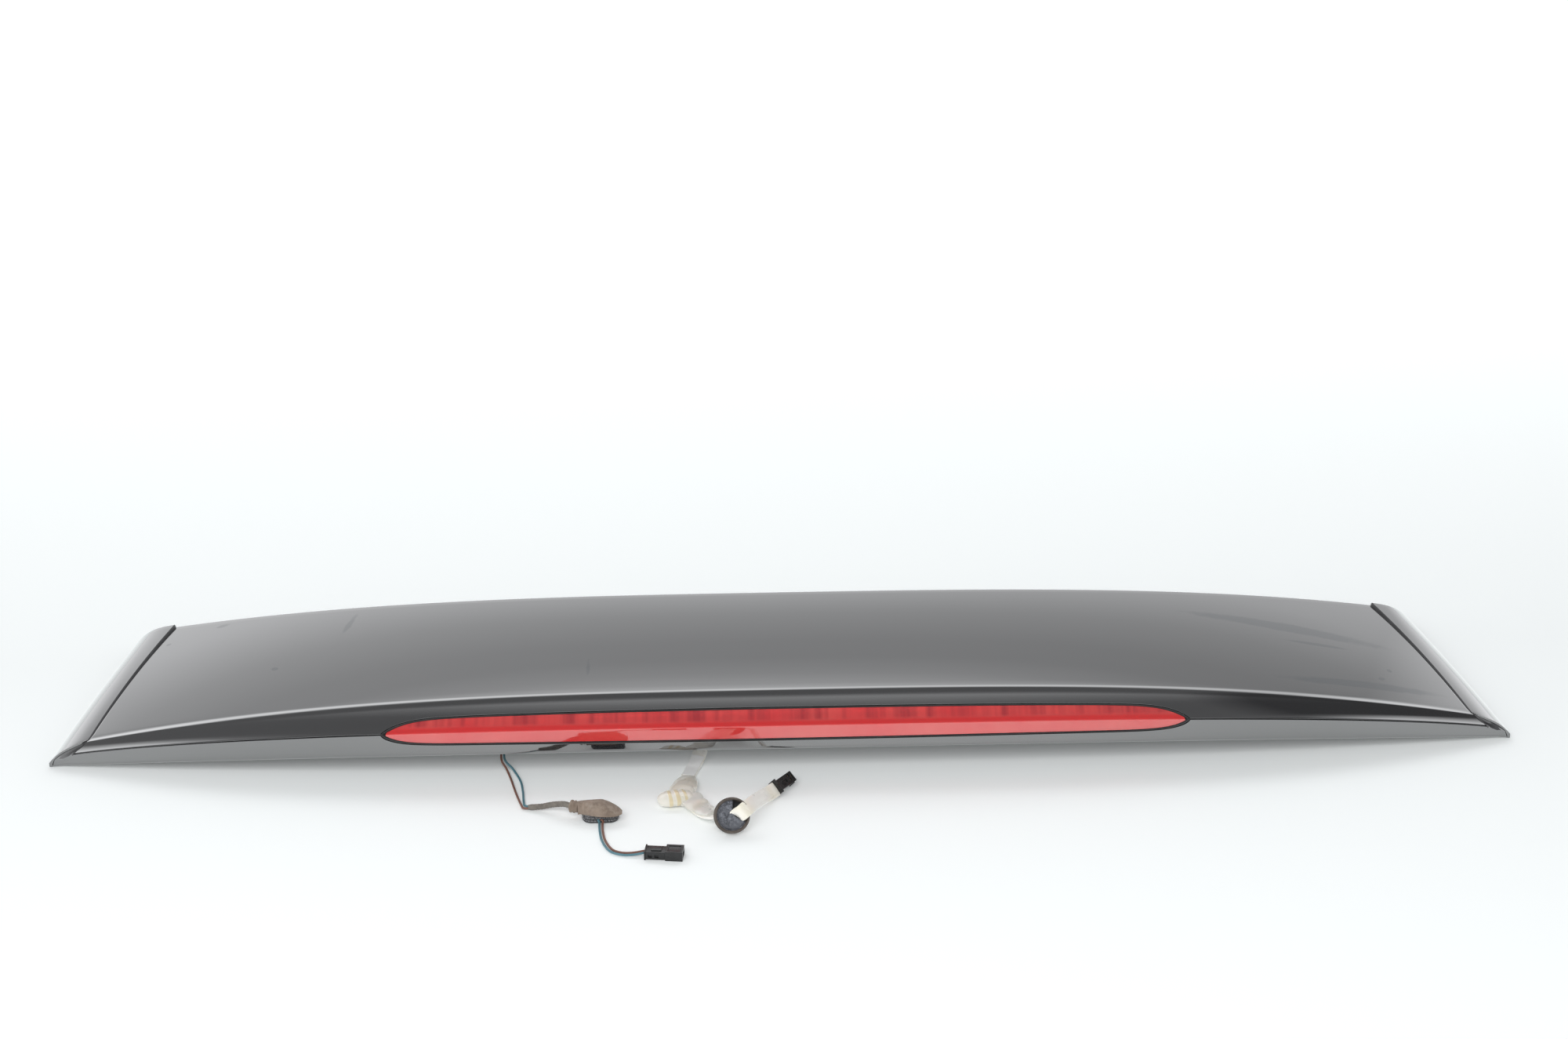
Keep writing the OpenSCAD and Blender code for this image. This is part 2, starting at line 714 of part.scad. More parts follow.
// It stands on the bush's lip, or as high as its screws need over the sloping wall
module_z = lower_wall + max(
    under_at(flat_exit_x, module_place.y + module_size.y / 2) + bush_lip,
    under_at(flat_exit_x, module_place.y + module_screw_y) + module_screw_tip + module_clear
);
module at_module_screws() {
    for (x = [module_screw_inset, module_size.x - module_screw_inset])
        translate([module_place.x + x, module_place.y + module_screw_y, module_z]) children();
}
module aerial_module() {
    color(black_plastic)
    difference() {
        translate([module_place.x, module_place.y, module_z]) cube(module_size);
        at_module_screws()
            translate([0, 0, -1])
            cylinder(d = module_screw_diameter + 0.4, h = module_size.z + 2);
    }
}
module aerial_screws() {
    color("silver")
    at_module_screws()
        translate([0, 0, -module_screw_tip])
        cylinder(d = module_screw_diameter, h = module_size.z + module_screw_tip);
}

module bush(width, height) {
    for (s = [-1, 1]) translate([s * width / 2, 0, 0]) {
        cylinder(d = bush_hole - 0.2, h = height + bush_lip);
        cylinder(d = bush_hole + 3, h = bush_lip);
    }
}
module wire_bush() {
    color(black_rubber)
    translate([wire_exit_x, exit_y, under_at(wire_exit_x, exit_y) - bush_lip - 0.2])
    bush(0, lower_wall);
}
module flat_bush() {
    color(black_rubber)
    translate([flat_exit_x, exit_y, under_at(flat_exit_x, exit_y) - bush_lip - 0.2])
    bush(flat_width / 2, lower_wall);
}

/* Leads: round points are laid out by hand, smoothed and swept */
function smooth(a, b, c, d, s) =
    0.5 * (2 * b + (c - a) * s + (2 * a - 5 * b + 4 * c - d) * s * s
           + (3 * b - a - 3 * c + d) * s * s * s);
function route(points, steps) =
    let (last = len(points) - 1)
    concat(
        [for (i = [0:last - 1], k = [0:steps - 1])
            smooth(points[max(i - 1, 0)], points[i], points[i + 1], points[min(i + 2, last)],
                   k / steps)],
        [points[last]]
    );
function unit3(v) = v / max(norm(v), 1e-6);
function heading(path, k) = unit3(path[min(k + 1, len(path) - 1)] - path[max(k - 1, 0)]);
function sideways(path, k, reference) =
    let (d = heading(path, k)) unit3(reference - d * (reference * d));
function upward(path, k, reference) =
    cross(heading(path, k), sideways(path, k, reference));

// Sections of a lead: a circle, or a flat strip with softened corners
function round_loop(size, sides) =
    [for (j = [0:sides - 1]) let (a = 360 * (j + 0.5) / sides) [cos(a), sin(a)] * size / 2];
function strip_loop(width, height) =
    let (w = width / 2, h = height / 2, c = height / 4)
    [[w, h - c], [w - c, h], [c - w, h], [-w, h - c], [-w, c - h], [c - w, -h], [w - c, -h], [w, c - h]];
module sweep(path, loop, reference, reference_end = undef) {
    last = len(path) - 1;
    to = is_undef(reference_end) ? reference : reference_end;
    skin_rings([
        for (k = [0:last])
            let (
                r = reference + (to - reference) * k / last,
                x = sideways(path, k, r), y = upward(path, k, r)
            )
            [for (p = loop) path[k] + x * p.x + y * p.y]
    ]);
}
function corner_out(size, sides) = size / cos(180 / sides);

wire_loop = round_loop(corner_out(wire_diameter, 8), 8);
wire_z = under_at(wire_exit_x, exit_y) - bush_lip - 0.2;
blue_route = [
    [wire_exit_x + 1.4, exit_y, wire_z + 0.05], [wire_exit_x + 1.5, exit_y - 2, wire_z - 9],
    [-229, -110, 7.5], [-221.5, -120, 3], [-214.5, -137, 1.4], [-211.5, -154, 1.2],
    [-209.5, -172, 1.4], [-207, -180.5, 2.4], [-204.95, -182, 3.5]
];
brown_route = [
    [wire_exit_x - 1.4, exit_y, wire_z + 0.05], [wire_exit_x - 1.5, exit_y - 2, wire_z - 9],
    [-231.5, -111, 7.5], [-227, -119, 3], [-222.5, -133, 1.2], [-217, -156, 1.2],
    [-211.5, -176, 1.4], [-208, -183, 1.8], [-204.95, -184, 2]
];
module wire_blue() {
    color("steelblue") sweep(route(blue_route, 2), wire_loop, [1, 0.2, 0.1]);
}
module wire_brown() {
    color("saddlebrown") sweep(route(brown_route, 2), wire_loop, [1, 0.2, 0.1]);
}

sleeve_route = [
    [-205, -183, 2.7], [-195, -184.7, 4], [-186, -187.3, 7], [-177, -191.5, 9.6], [-171.7, -194.3, 9.6]
];
module wire_sleeve() {
    color("dimgray")
    sweep(route(sleeve_route, 2), round_loop(corner_out(sleeve_diameter, 12), 12), [0, 0, 1]);
}

hood_x = [-164.9, -162, -158, -154, -150, -146, -142, -138, -134.5, -131];
hood_top = [14, 14.3, 15.6, 17.4, 18.5, 18.3, 16.8, 14.3, 11.2, 7.8];
hood_half = [4.8, 6.4, 8.4, 9.6, 10.1, 10.1, 9.5, 8.1, 5.8, 1.6];
hood_base = [5.6, 7.05, 7.05, 7.05, 7.05, 7.05, 7.05, 7.05, 7.05, 7.05];
hood_y = [-196.8, -197.4, -198.4, -199, -199.4, -199.6, -200, -200.6, -201.6, -203];
module dome_grommet() {
    color("rosybrown") {
        skin_rings([
            for (k = [0:len(hood_x) - 1])
                [for (a = [0:20:180])
                    [hood_x[k], hood_y[k] + hood_half[k] * cos(a),
                     hood_base[k] + (hood_top[k] - hood_base[k]) * pow(sin(a), 0.8)]]
        ]);
        translate([-171.3, -194.4, 9.4])
        rotate([0, 90, -20])
        cylinder(d = 10, h = 6.9);
    }
}

module stadium(length, width, height) {
    for (s = [-1, 1])
        translate([s * (length - width) / 2, 0, 0]) cylinder(d = width, h = height);
    translate([(width - length) / 2, -width / 2, 0]) cube([length - width, width, height]);
}
module grommet_plug() {
    color(black_rubber)
    translate([-148, -199.5, 0]) {
        stadium(27.5, 14, 7);
        translate([0, 0, 1.2]) stadium(29, 15.2, 1.2);
        translate([0, 0, 3.8]) stadium(29, 15.2, 1.2);
    }
}

tail_blue_route = [
    [-149.2, -207.05, 2.9], [-148.6, -211, 1.8], [-147.9, -221, 1.2], [-145.4, -236.6, 1.2],
    [-139.2, -251.3, 1.2], [-130, -257.4, 1.3], [-121, -258.9, 2], [-112.3, -258.6, 3.4]
];
tail_brown_route = [
    [-146.4, -207.05, 2.9], [-146.2, -211, 1.8], [-145.5, -221, 1.2], [-143, -235.6, 1.2],
    [-137.4, -249, 1.2], [-129.6, -254.4, 1.3], [-121, -255.8, 2], [-112.5, -255.8, 3.4]
];
module tail_wire_blue() {
    color("steelblue") sweep(route(tail_blue_route, 2), wire_loop, [0, 0, 1]);
}
module tail_wire_brown() {
    color("saddlebrown") sweep(route(tail_brown_route, 2), wire_loop, [0, 0, 1]);
}

plug_pair_turn = -7;
body_length = 16;
cap_length = 13.4;
module wire_connector() {
    color(black_plastic)
    translate([-112.3, -258, 0])
    rotate([0, 0, plug_pair_turn])
    difference() {
        union() {
            translate([0, -5.5, 0.4]) cube([body_length, 11, 6]);
            translate([0, -6.2, 0]) cube([1.2, 12.4, 7]);
            translate([5, -3, 6.2]) cube([8, 6, 1]);
        }
        translate([3, -6, 2]) cube([3, 2, 2.4]);
        translate([8, -6, 2]) cube([3, 2, 2.4]);
    }
}
module connector_cap() {
    color(black_plastic)
    translate([-112.3, -258, 0])
    rotate([0, 0, plug_pair_turn])
    translate([body_length, -6.3, 0])
    difference() {
        cube([cap_length, 12.6, 7.6]);
        translate([2, 2, 7]) cube([cap_length - 4, 8.6, 2]);
        translate([cap_length - 1.5, 1.6, 1.6]) cube([3, 9.4, 4.4]);
    }
}

flat_z = under_at(flat_exit_x, exit_y) - bush_lip - 0.2;
flat_route = [
    [flat_exit_x, exit_y, flat_z + 0.05], [flat_exit_x - 0.4, exit_y - 1.4, flat_z - 9],
    [-70, -103.5, 9.5], [-72.5, -110, 4], [-76, -120, 1.7], [-78.6, -129.5, 1.5], [-80.6, -137.5, 1.5]
];
flat_reference = [1, -0.2, 0];
mid_route = [
    [-84, -169, 2.2], [-78.5, -179.5, 1.9], [-72, -192, 2.6], [-66, -204, 4.6],
    [-60, -211.5, 7], [-53, -214.3, 9], [-48.2, -216.6, 11], [-46.5, -219.5, 12.5]
];
tail_route = [
    [-44.3, -222.2, 15], [-39.8, -220, 18], [-34.5, -211.5, 18.3], [-27, -200, 14],
    [-20.5, -186.5, 10.2], [-15, -176.8, 8], [-10.7, -169.4, 7]
];
tail_reference = [-0.627, 0.341, 0.7];
flat_loop = strip_loop(flat_width, flat_thickness);
module flat_lead() {
    color("ivory") sweep(route(flat_route, 2), flat_loop, flat_reference);
}
module flat_lead_mid() {
    color("ivory") sweep(route(mid_route, 2), flat_loop, [0.86, 0.5, 0.05], [1, 0.1, 0]);
}
module flat_lead_tail() {
    color("ivory") sweep(route(tail_route, 2), flat_loop, tail_reference, [-0.55, 0.39, 0.74]);
}
label_thickness = 0.4;
label_lift = (flat_thickness + label_thickness) / 2;
module lead_label() {
    path = route(flat_route, 2);
    color("white")
    sweep([for (k = [6:11]) path[k] + upward(path, k, flat_reference) * label_lift],
          strip_loop(flat_width * 0.86, label_thickness), flat_reference);
}

wrap_rings = [
    [-80.4, -137, 12.6, 3.2], [-82.6, -147, 18, 7], [-87.5, -159, 21, 9], [-92, -171, 23, 9.6],
    [-95, -182, 20, 8.8], [-95.8, -190, 14, 6.5]
];
module lead_wrap() {
    color("wheat")
    difference() {
        skin_rings([
            for (w = wrap_rings)
                [for (j = [0:11])
                    let (a = 360 * (j + 0.5) / 12)
                    [w[0] + cos(a) * w[2] / 2, w[1], 0.1 + w[3] / 2 + sin(a) * w[3] / 2]]
        ]);
        flat_lead();
        flat_lead_mid();
    }
}

disc_place = [-46, -223, 13.9];
disc_lean = 60;
disc_turn = 6;
slot_turn = 36;
module on_disc() {
    translate(disc_place) rotate([0, 0, disc_turn]) rotate([disc_lean, 0, 0]) children();
}
module round_grommet() {
    color(black_rubber)
    on_disc()
    difference() {
        translate([0, 0, -disc_thickness / 2])
        rotate_extrude()
        polygon([
            [0, 0], [disc_diameter / 2 - 0.6, 0], [disc_diameter / 2, 0.6], [disc_diameter / 2, 1.6],
            [disc_diameter / 2 - 1.6, 1.9], [disc_diameter / 2 - 1.6, 3.1], [disc_diameter / 2, 3.4],
            [disc_diameter / 2, disc_thickness - 0.8], [disc_diameter / 2 - 0.8, disc_thickness],
            [0, disc_thickness]
        ]);
        rotate([0, 0, slot_turn])
        translate([1, -flat_width / 2 - 0.4, -5])
        cube([20, flat_width + 0.8, 10]);
    }
}

small_place = [-4, -158.5, 7];
module on_small() {
    translate(small_place) rotate([0, 4, 58]) rotate([42, 0, 0]) children();
}
small_windows = [[5.2, 1.4], [5.2, -2.4], [8.6, -0.6]];
module lead_connector() {
    color(black_plastic)
    on_small()
    difference() {
        union() {
            translate([-11, -4.6, -2.8]) cube([23, 9.2, 5.6]);
            translate([-12.6, -6.2, -3.5]) cube([1.8, 12.4, 7]);
            translate([6, -5.4, -2.8]) cube([2, 1, 5.6]);
        }
        for (w = small_windows) translate([w.x, w.y, 0.4]) cube([2.4, 2.2, 4]);
        translate([-5, -1.6, 1.6]) cube([7, 3.2, 3]);
    }
}
module connector_contacts() {
    color("gold")
    on_small()
    for (w = small_windows) translate([w.x + 0.5, w.y + 0.4, 0.38]) cube([1.4, 1.4, 1.5]);
}

upper_shell();
lower_shell();
front_seal();
edge_pads();
mounting_studs();
stud_rings();
locating_pins();
lamp_lens();
lamp_seal();
lamp_housing();
lamp_reflector();
lamp_board();
lamp_leds();
lamp_plug();
lamp_screws();
aerial_module();
aerial_screws();
wire_bush();
flat_bush();
wire_blue();
wire_brown();
wire_sleeve();
dome_grommet();
grommet_plug();
tail_wire_blue();
tail_wire_brown();
wire_connector();
connector_cap();
flat_lead();
lead_label();
lead_wrap();
flat_lead_mid();
round_grommet();
flat_lead_tail();
lead_connector();
connector_contacts();
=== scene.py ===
"""Tailgate spoiler of a car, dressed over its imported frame.

A gloss black two-part moulding stands on its two rear tips, with a slim red brake lamp
in its rear face and two leads that run out under its lower edge onto the floor.

The form functions work in millimetres, in the same frame as the part's source, and every
mesh is written in metres. A surface is a grid of points worked out as whole arrays.
"""

import json
import logging
import math
from dataclasses import dataclass, field
from enum import Enum
from typing import Any, Sequence

import bpy
import numpy as np
from mathutils import Matrix, Vector

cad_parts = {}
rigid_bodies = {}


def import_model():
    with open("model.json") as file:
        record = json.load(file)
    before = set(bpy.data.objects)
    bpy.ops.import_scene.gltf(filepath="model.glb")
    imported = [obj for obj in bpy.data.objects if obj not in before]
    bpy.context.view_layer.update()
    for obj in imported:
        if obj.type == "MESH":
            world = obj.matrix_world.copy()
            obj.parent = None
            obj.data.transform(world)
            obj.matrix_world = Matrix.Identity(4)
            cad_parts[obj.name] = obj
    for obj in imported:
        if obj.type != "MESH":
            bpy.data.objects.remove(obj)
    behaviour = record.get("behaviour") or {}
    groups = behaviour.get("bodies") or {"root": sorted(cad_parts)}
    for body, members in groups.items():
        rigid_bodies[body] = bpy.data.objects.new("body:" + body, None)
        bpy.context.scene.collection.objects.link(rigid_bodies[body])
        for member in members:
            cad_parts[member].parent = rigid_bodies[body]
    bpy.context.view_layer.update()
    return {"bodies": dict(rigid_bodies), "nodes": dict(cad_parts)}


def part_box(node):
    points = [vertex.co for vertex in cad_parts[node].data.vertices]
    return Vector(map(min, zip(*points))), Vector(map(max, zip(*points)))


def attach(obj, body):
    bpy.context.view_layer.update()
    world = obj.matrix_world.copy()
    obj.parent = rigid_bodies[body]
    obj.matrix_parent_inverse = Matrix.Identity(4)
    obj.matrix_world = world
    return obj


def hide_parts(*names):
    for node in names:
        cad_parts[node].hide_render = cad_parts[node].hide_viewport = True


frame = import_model()

Array = np.ndarray
Colour = tuple[float, float, float]
LOG = logging.getLogger("spoiler")
MM = 0.001
BODY = next(iter(frame["bodies"]))


# ---------------------------------------------------------------------------------------
# Arrays and curves
# ---------------------------------------------------------------------------------------

def mix(a: Any, b: Any, t: Any) -> Any:
    """Straight mix of a and b: a where t is 0, b where t is 1."""
    return a + (b - a) * t


def ease(t: Array) -> Array:
    """Smooth step: 3 t squared less 2 t cubed, held at 0 below 0 and at 1 above 1."""
    t = np.clip(t, 0.0, 1.0)
    return t * t * (3 - 2 * t)


def bend(a: Array, b: Array, c: Array, s: Array) -> Array:
    """Quadratic curve from a to c that is drawn towards b, at each s of 0 to 1.

    Args:
        a, b, c: Points, one row per station, shape (stations, 3).
        s: Places on the curve, shape (places,).

    Returns:
        Points of shape (stations, places, 3).
    """
    s = s[None, :, None]
    return (1 - s) ** 2 * a[:, None] + 2 * s * (1 - s) * b[:, None] + s * s * c[:, None]


def lay(a: Array, b: Array, s: Array) -> Array:
    """Straight runs from a to b, one per station, at each s of 0 to 1."""
    return mix(a[:, None], b[:, None], s[None, :, None])


def weave(points: Sequence[Sequence[float]], steps: int = 8) -> Array:
    """Curve through given points: each span is the usual cubic of its four nearest points.

    Args:
        points: Rows of numbers, the first three of which are usually x, y and z.
        steps: Places on each span.

    Returns:
        The curve's rows, the last point included.
    """
    p = np.asarray(points, float)
    p = np.concatenate([p[:1], p, p[-1:]])
    a, b, c, d = (q[:, None, :] for q in (p[:-3], p[1:-2], p[2:-1], p[3:]))
    s = (np.arange(steps) / steps)[None, :, None]
    curve = 0.5 * (2 * b + (c - a) * s + (2 * a - 5 * b + 4 * c - d) * s ** 2
                   + (3 * b - a - 3 * c + d) * s ** 3)
    return np.concatenate([curve.reshape(-1, p.shape[1]), p[-1:]])


def unit(v: Array) -> Array:
    """Rows of v brought to length 1."""
    return v / np.maximum(np.linalg.norm(v, axis=-1, keepdims=True), 1e-9)


def length_along(path: Array) -> Array:
    """Distance along a path at each of its points, from 0."""
    return np.concatenate([[0.0], np.cumsum(np.linalg.norm(np.diff(path, axis=0), axis=1))])


def inset(points: Array, depth: Array | float, prior: Array | None = None,
          following: Array | None = None) -> Array:
    """Sections moved to their inner side in the Y-Z plane, with mitred corners.

    Each point moves along the sum of the normals of its two runs, divided by one plus
    their dot product, so that both runs move by depth.

    Args:
        points: Sections, shape (stations, places, 3).
        depth: Distance, one number or one per station.
        prior, following: Points before and after each section, where it goes on.

    Returns:
        The moved sections, of the same shape.
    """
    run = np.diff(points[..., 1:], axis=1)
    first = run[:, :1] if prior is None else points[:, :1, 1:] - prior[:, None, 1:]
    last = run[:, -1:] if following is None else following[:, None, 1:] - points[:, -1:, 1:]
    run = unit(np.concatenate([first, run, last], axis=1))
    normal = np.stack([-run[..., 1], run[..., 0]], axis=-1)
    before, after = normal[:, :-1], normal[:, 1:]
    spread = np.maximum(1 + (before * after).sum(-1, keepdims=True), 0.4)
    move = (before + after) / spread * np.reshape(depth, (-1, 1, 1))
    return np.concatenate([points[..., :1], points[..., 1:] + move], axis=-1)


# ---------------------------------------------------------------------------------------
# Meshes
# ---------------------------------------------------------------------------------------

@dataclass
class Patch:
    """A closed surface: points in millimetres, its faces, and a place on the skin for each corner."""

    points: Array
    faces: list[list[int]]
    places: list[tuple[float, float]]
    band: list[int]

    @staticmethod
    def of_rings(rings: Array, loop: bool = False, turn: float = 1.0) -> "Patch":
        """Surface through closed rings of points, closed at both ends or into a loop.

        Args:
            rings: Points of shape (rings, places, 3).
            loop: Whether the last ring joins the first.
            turn: Length of one turn on the skin, in metres, for the map.

        Returns:
            The patch, with its faces outwards.
        """
        count, places = rings.shape[:2]
        middle = rings.mean(axis=1)
        along = length_along(np.concatenate([middle, middle[:1]])) * MM
        rows = np.arange(count if loop else count - 1)[:, None]
        cols = np.arange(places)[None, :]
        down, right = (rows + 1) % count, (cols + 1) % places
        quads = np.stack([rows * places + cols, down * places + cols, down * places + right,
                          rows * places + right], axis=-1).reshape(-1, 4)
        u = np.broadcast_to(cols, (rows.size, places)) / places * turn
        v0 = np.broadcast_to(along[:-1][rows], u.shape)
        v1 = np.broadcast_to(along[1:][rows], u.shape)
        du = turn / places
        uv = np.stack([np.stack([u, v0], -1), np.stack([u, v1], -1), np.stack([u + du, v1], -1),
                       np.stack([u + du, v0], -1)], axis=2).reshape(-1, 2)
        faces, spots = quads.tolist(), uv.tolist()
        if not loop:
            last = (count - 1) * places
            faces += [list(range(places)), list(range(last + places - 1, last - 1, -1))]
            spots += [(0.0, 0.0)] * places * 2
        return Patch(rings.reshape(-1, 3), faces, spots, [0] * len(faces)).outwards()

    @staticmethod
    def of_sheets(outer: Array, inner: Array, bands: Sequence[int] | None = None) -> "Patch":
        """Thick sheet between two grids of the same shape, closed round its rim.

        Args:
            outer, inner: Grids of shape (rows, columns, 3).
            bands: Finish number of each column's faces.

        Returns:
            The patch, with its faces outwards.
        """
        rows, cols = outer.shape[:2]
        band = list(bands) if bands is not None else [0] * cols
        ring = np.concatenate([outer, inner[:, ::-1]], axis=1)
        patch = Patch.of_rings(ring)
        sides = 2 * cols
        patch.band = [(band + band[::-1])[k % sides] for k in range((rows - 1) * sides)] + [band[-1]] * 2
        caps = []
        for row in (0, rows - 1):
            base = row * sides
            caps += [[base + k, base + k + 1, base + sides - 2 - k, base + sides - 1 - k]
                     for k in range(cols - 1)]
        if patch.faces[0] != sorted(patch.faces[0]) and False:
            return patch
        count = (rows - 1) * sides
        patch.faces = patch.faces[:count]
        patch.places = patch.places[:4 * count]
        patch.band = patch.band[:count]
        start = patch.faces[0]
        flipped = start[1] < start[0] + sides and start[1] != start[0] + sides
        for number, cap in enumerate(caps):
            turned = (number < cols - 1) == flipped
            patch.faces.append(cap[::-1] if turned else cap)
            patch.places += [(0.0, 0.0)] * 4
            patch.band.append(band[number % (cols - 1)])
        return patch

    @staticmethod
    def join(patches: Sequence["Patch"]) -> "Patch":
        """All patches as one, each still closed by itself."""
        points, faces, places, band, start = [], [], [], [], 0
        for patch in patches:
            points.append(patch.points)
            faces += [[start + k for k in face] for face in patch.faces]
            places += patch.places
            band += patch.band
            start += len(patch.points)
        return Patch(np.concatenate(points), faces, places, band)

    def painted(self, number: int) -> "Patch":
        """The same patch with one finish number on all its faces."""
        return Patch(self.points, self.faces, self.places, [number] * len(self.faces))

    def outwards(self) -> "Patch":
        """The patch with its faces turned if it encloses a negative volume."""
        fans = np.array([(f[0], f[k], f[k + 1]) for f in self.faces for k in range(1, len(f) - 1)])
        a, b, c = (self.points[fans[:, k]] for k in range(3))
        if (a * np.cross(b, c)).sum() >= 0:
            return self
        spots, at = [], 0
        for face in self.faces:
            spots += self.places[at:at + len(face)][::-1]
            at += len(face)
        return Patch(self.points, [face[::-1] for face in self.faces], spots, self.band)


def make(name: str, patch: Patch, slot: str, *finishes: bpy.types.Material,
         replaces: Sequence[str] = (), sharp: float = 38.0) -> bpy.types.Object:
    """Puts a patch into the scene as a piece of the object.

    Args:
        name: The piece's name.
        patch: Its surface.
        slot: The record's material slot that it belongs to; not used.
        finishes: Its materials, in the order of the patch's finish numbers.
        replaces: CAD nodes that it stands for.
        sharp: Angle in degrees past which an edge stays sharp.

    Returns:
        The new object, riding on the body.
    """
    mesh = bpy.data.meshes.new(name)
    mesh.from_pydata((patch.points * MM).tolist(), [], patch.faces)
    mesh.polygons.foreach_set("use_smooth", [True] * len(patch.faces))
    mesh.polygons.foreach_set("material_index", patch.band)
    skin = mesh.uv_layers.new(name="skin")
    skin.data.foreach_set("uv", np.asarray(patch.places, float).ravel())
    for finish in finishes:
        mesh.materials.append(finish)
    mesh.set_sharp_from_angle(angle=math.radians(sharp))
    mesh.update()
    return settle(bpy.data.objects.new(name, mesh), replaces)


def settle(piece: bpy.types.Object, replaces: Sequence[str] = ()) -> bpy.types.Object:
    """Links a piece, lets it ride, and hides the CAD nodes that it stands for."""
    if not piece.users_collection:
        bpy.context.scene.collection.objects.link(piece)
    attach(piece, BODY)
    if replaces:
        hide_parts(*replaces)
    LOG.info("%s: %d faces", piece.name, len(piece.data.polygons))
    return piece


def softened(name: str, node: str, width: float, finish: bpy.types.Material,
             segments: int = 2) -> bpy.types.Object:
    """A moulded stand-in for a CAD node: its merged copy with rounded edges.

    Args:
        name: Name of the new piece.
        node: The CAD node that it replaces.
        width: Width of the rounding in millimetres.
        finish: Its material.
        segments: Faces across the rounding.

    Returns:
        The new piece.
    """
    import bmesh
    source = frame["nodes"][node]
    mesh = source.data.copy()
    mesh.name = name
    work = bmesh.new()
    work.from_mesh(mesh)
    bmesh.ops.remove_doubles(work, verts=work.verts, dist=1e-6)
    bmesh.ops.dissolve_limit(work, angle_limit=math.radians(1), verts=work.verts, edges=work.edges)
    edges = [e for e in work.edges
             if len(e.link_faces) == 2 and e.calc_face_angle(0.0) > math.radians(28)]
    bmesh.ops.bevel(work, geom=edges, offset=width * MM, segments=segments, profile=0.6,
                    affect="EDGES", clamp_overlap=True)
    work.to_mesh(mesh)
    work.free()
    mesh.materials.clear()
    mesh.materials.append(finish)
    mesh.polygons.foreach_set("material_index", [0] * len(mesh.polygons))
    mesh.polygons.foreach_set("use_smooth", [True] * len(mesh.polygons))
    mesh.set_sharp_from_angle(angle=math.radians(32))
    return settle(bpy.data.objects.new(name, mesh), [node])


def ring_round(sides: int, start: float = 0.0) -> Array:
    """Unit circle as rows of two numbers: cosine and sine of evenly spaced angles."""
    angle = start + np.arange(sides) / sides * 2 * math.pi
    return np.stack([np.cos(angle), np.sin(angle)], axis=1)


def sweep(path: Array, loops: Array, reference: Array) -> Array:
    """Rings of a profile carried along a path.

    At each point the heading is the central difference, the sideways direction is the
    reference less its part along the heading, and upward is their cross product.

    Args:
        path: Points, shape (count, 3).
        loops: Profile of shape (places, 2) or (count, places, 2).
        reference: Sideways direction, one or one per point.

    Returns:
        Rings of shape (count, places, 3).
    """
    ends = np.concatenate([path[:1], path, path[-1:]])
    heading = unit(ends[2:] - ends[:-2])
    reference = np.broadcast_to(np.asarray(reference, float), path.shape)
    side = unit(reference - heading * (reference * heading).sum(1, keepdims=True))
    up = np.cross(heading, side)
    loops = np.broadcast_to(loops, (len(path),) + loops.shape[-2:])
    return path[:, None] + loops[..., :1] * side[:, None] + loops[..., 1:] * up[:, None]


def carried(path: Array, first: Sequence[float]) -> Array:
    """Sideways direction at each point of a path, carried along so that it never twists."""
    ends = np.concatenate([path[:1], path, path[-1:]])
    heading = unit(ends[2:] - ends[:-2])
    made = [np.asarray(first, float)]
    for way in heading:
        made.append(unit(made[-1] - way * (made[-1] @ way)))
    return np.stack(made[1:])


def lathe(profile: Sequence[Sequence[float]], centre: Sequence[float], sides: int = 40,
          turn: Matrix | None = None) -> Patch:
    """Solid of revolution about Z.

    Args:
        profile: Radius and height of each ring, from one pole to the other.
        centre: Where its origin goes, in millimetres.
        sides: Places round it.
        turn: Rotation applied before it is placed.

    Returns:
        The closed patch.
    """
    p = np.asarray(profile, float)
    circle = ring_round(sides)
    flat = np.maximum(p[:, :1, None], 1e-3) * circle[None]
    rings = np.concatenate([flat, np.broadcast_to(p[:, 1:, None], flat.shape[:2] + (1,))], axis=-1)
    if turn is not None:
        rings = rings @ np.array(turn.to_3x3()).T
    return Patch.of_rings(rings + np.asarray(centre, float))


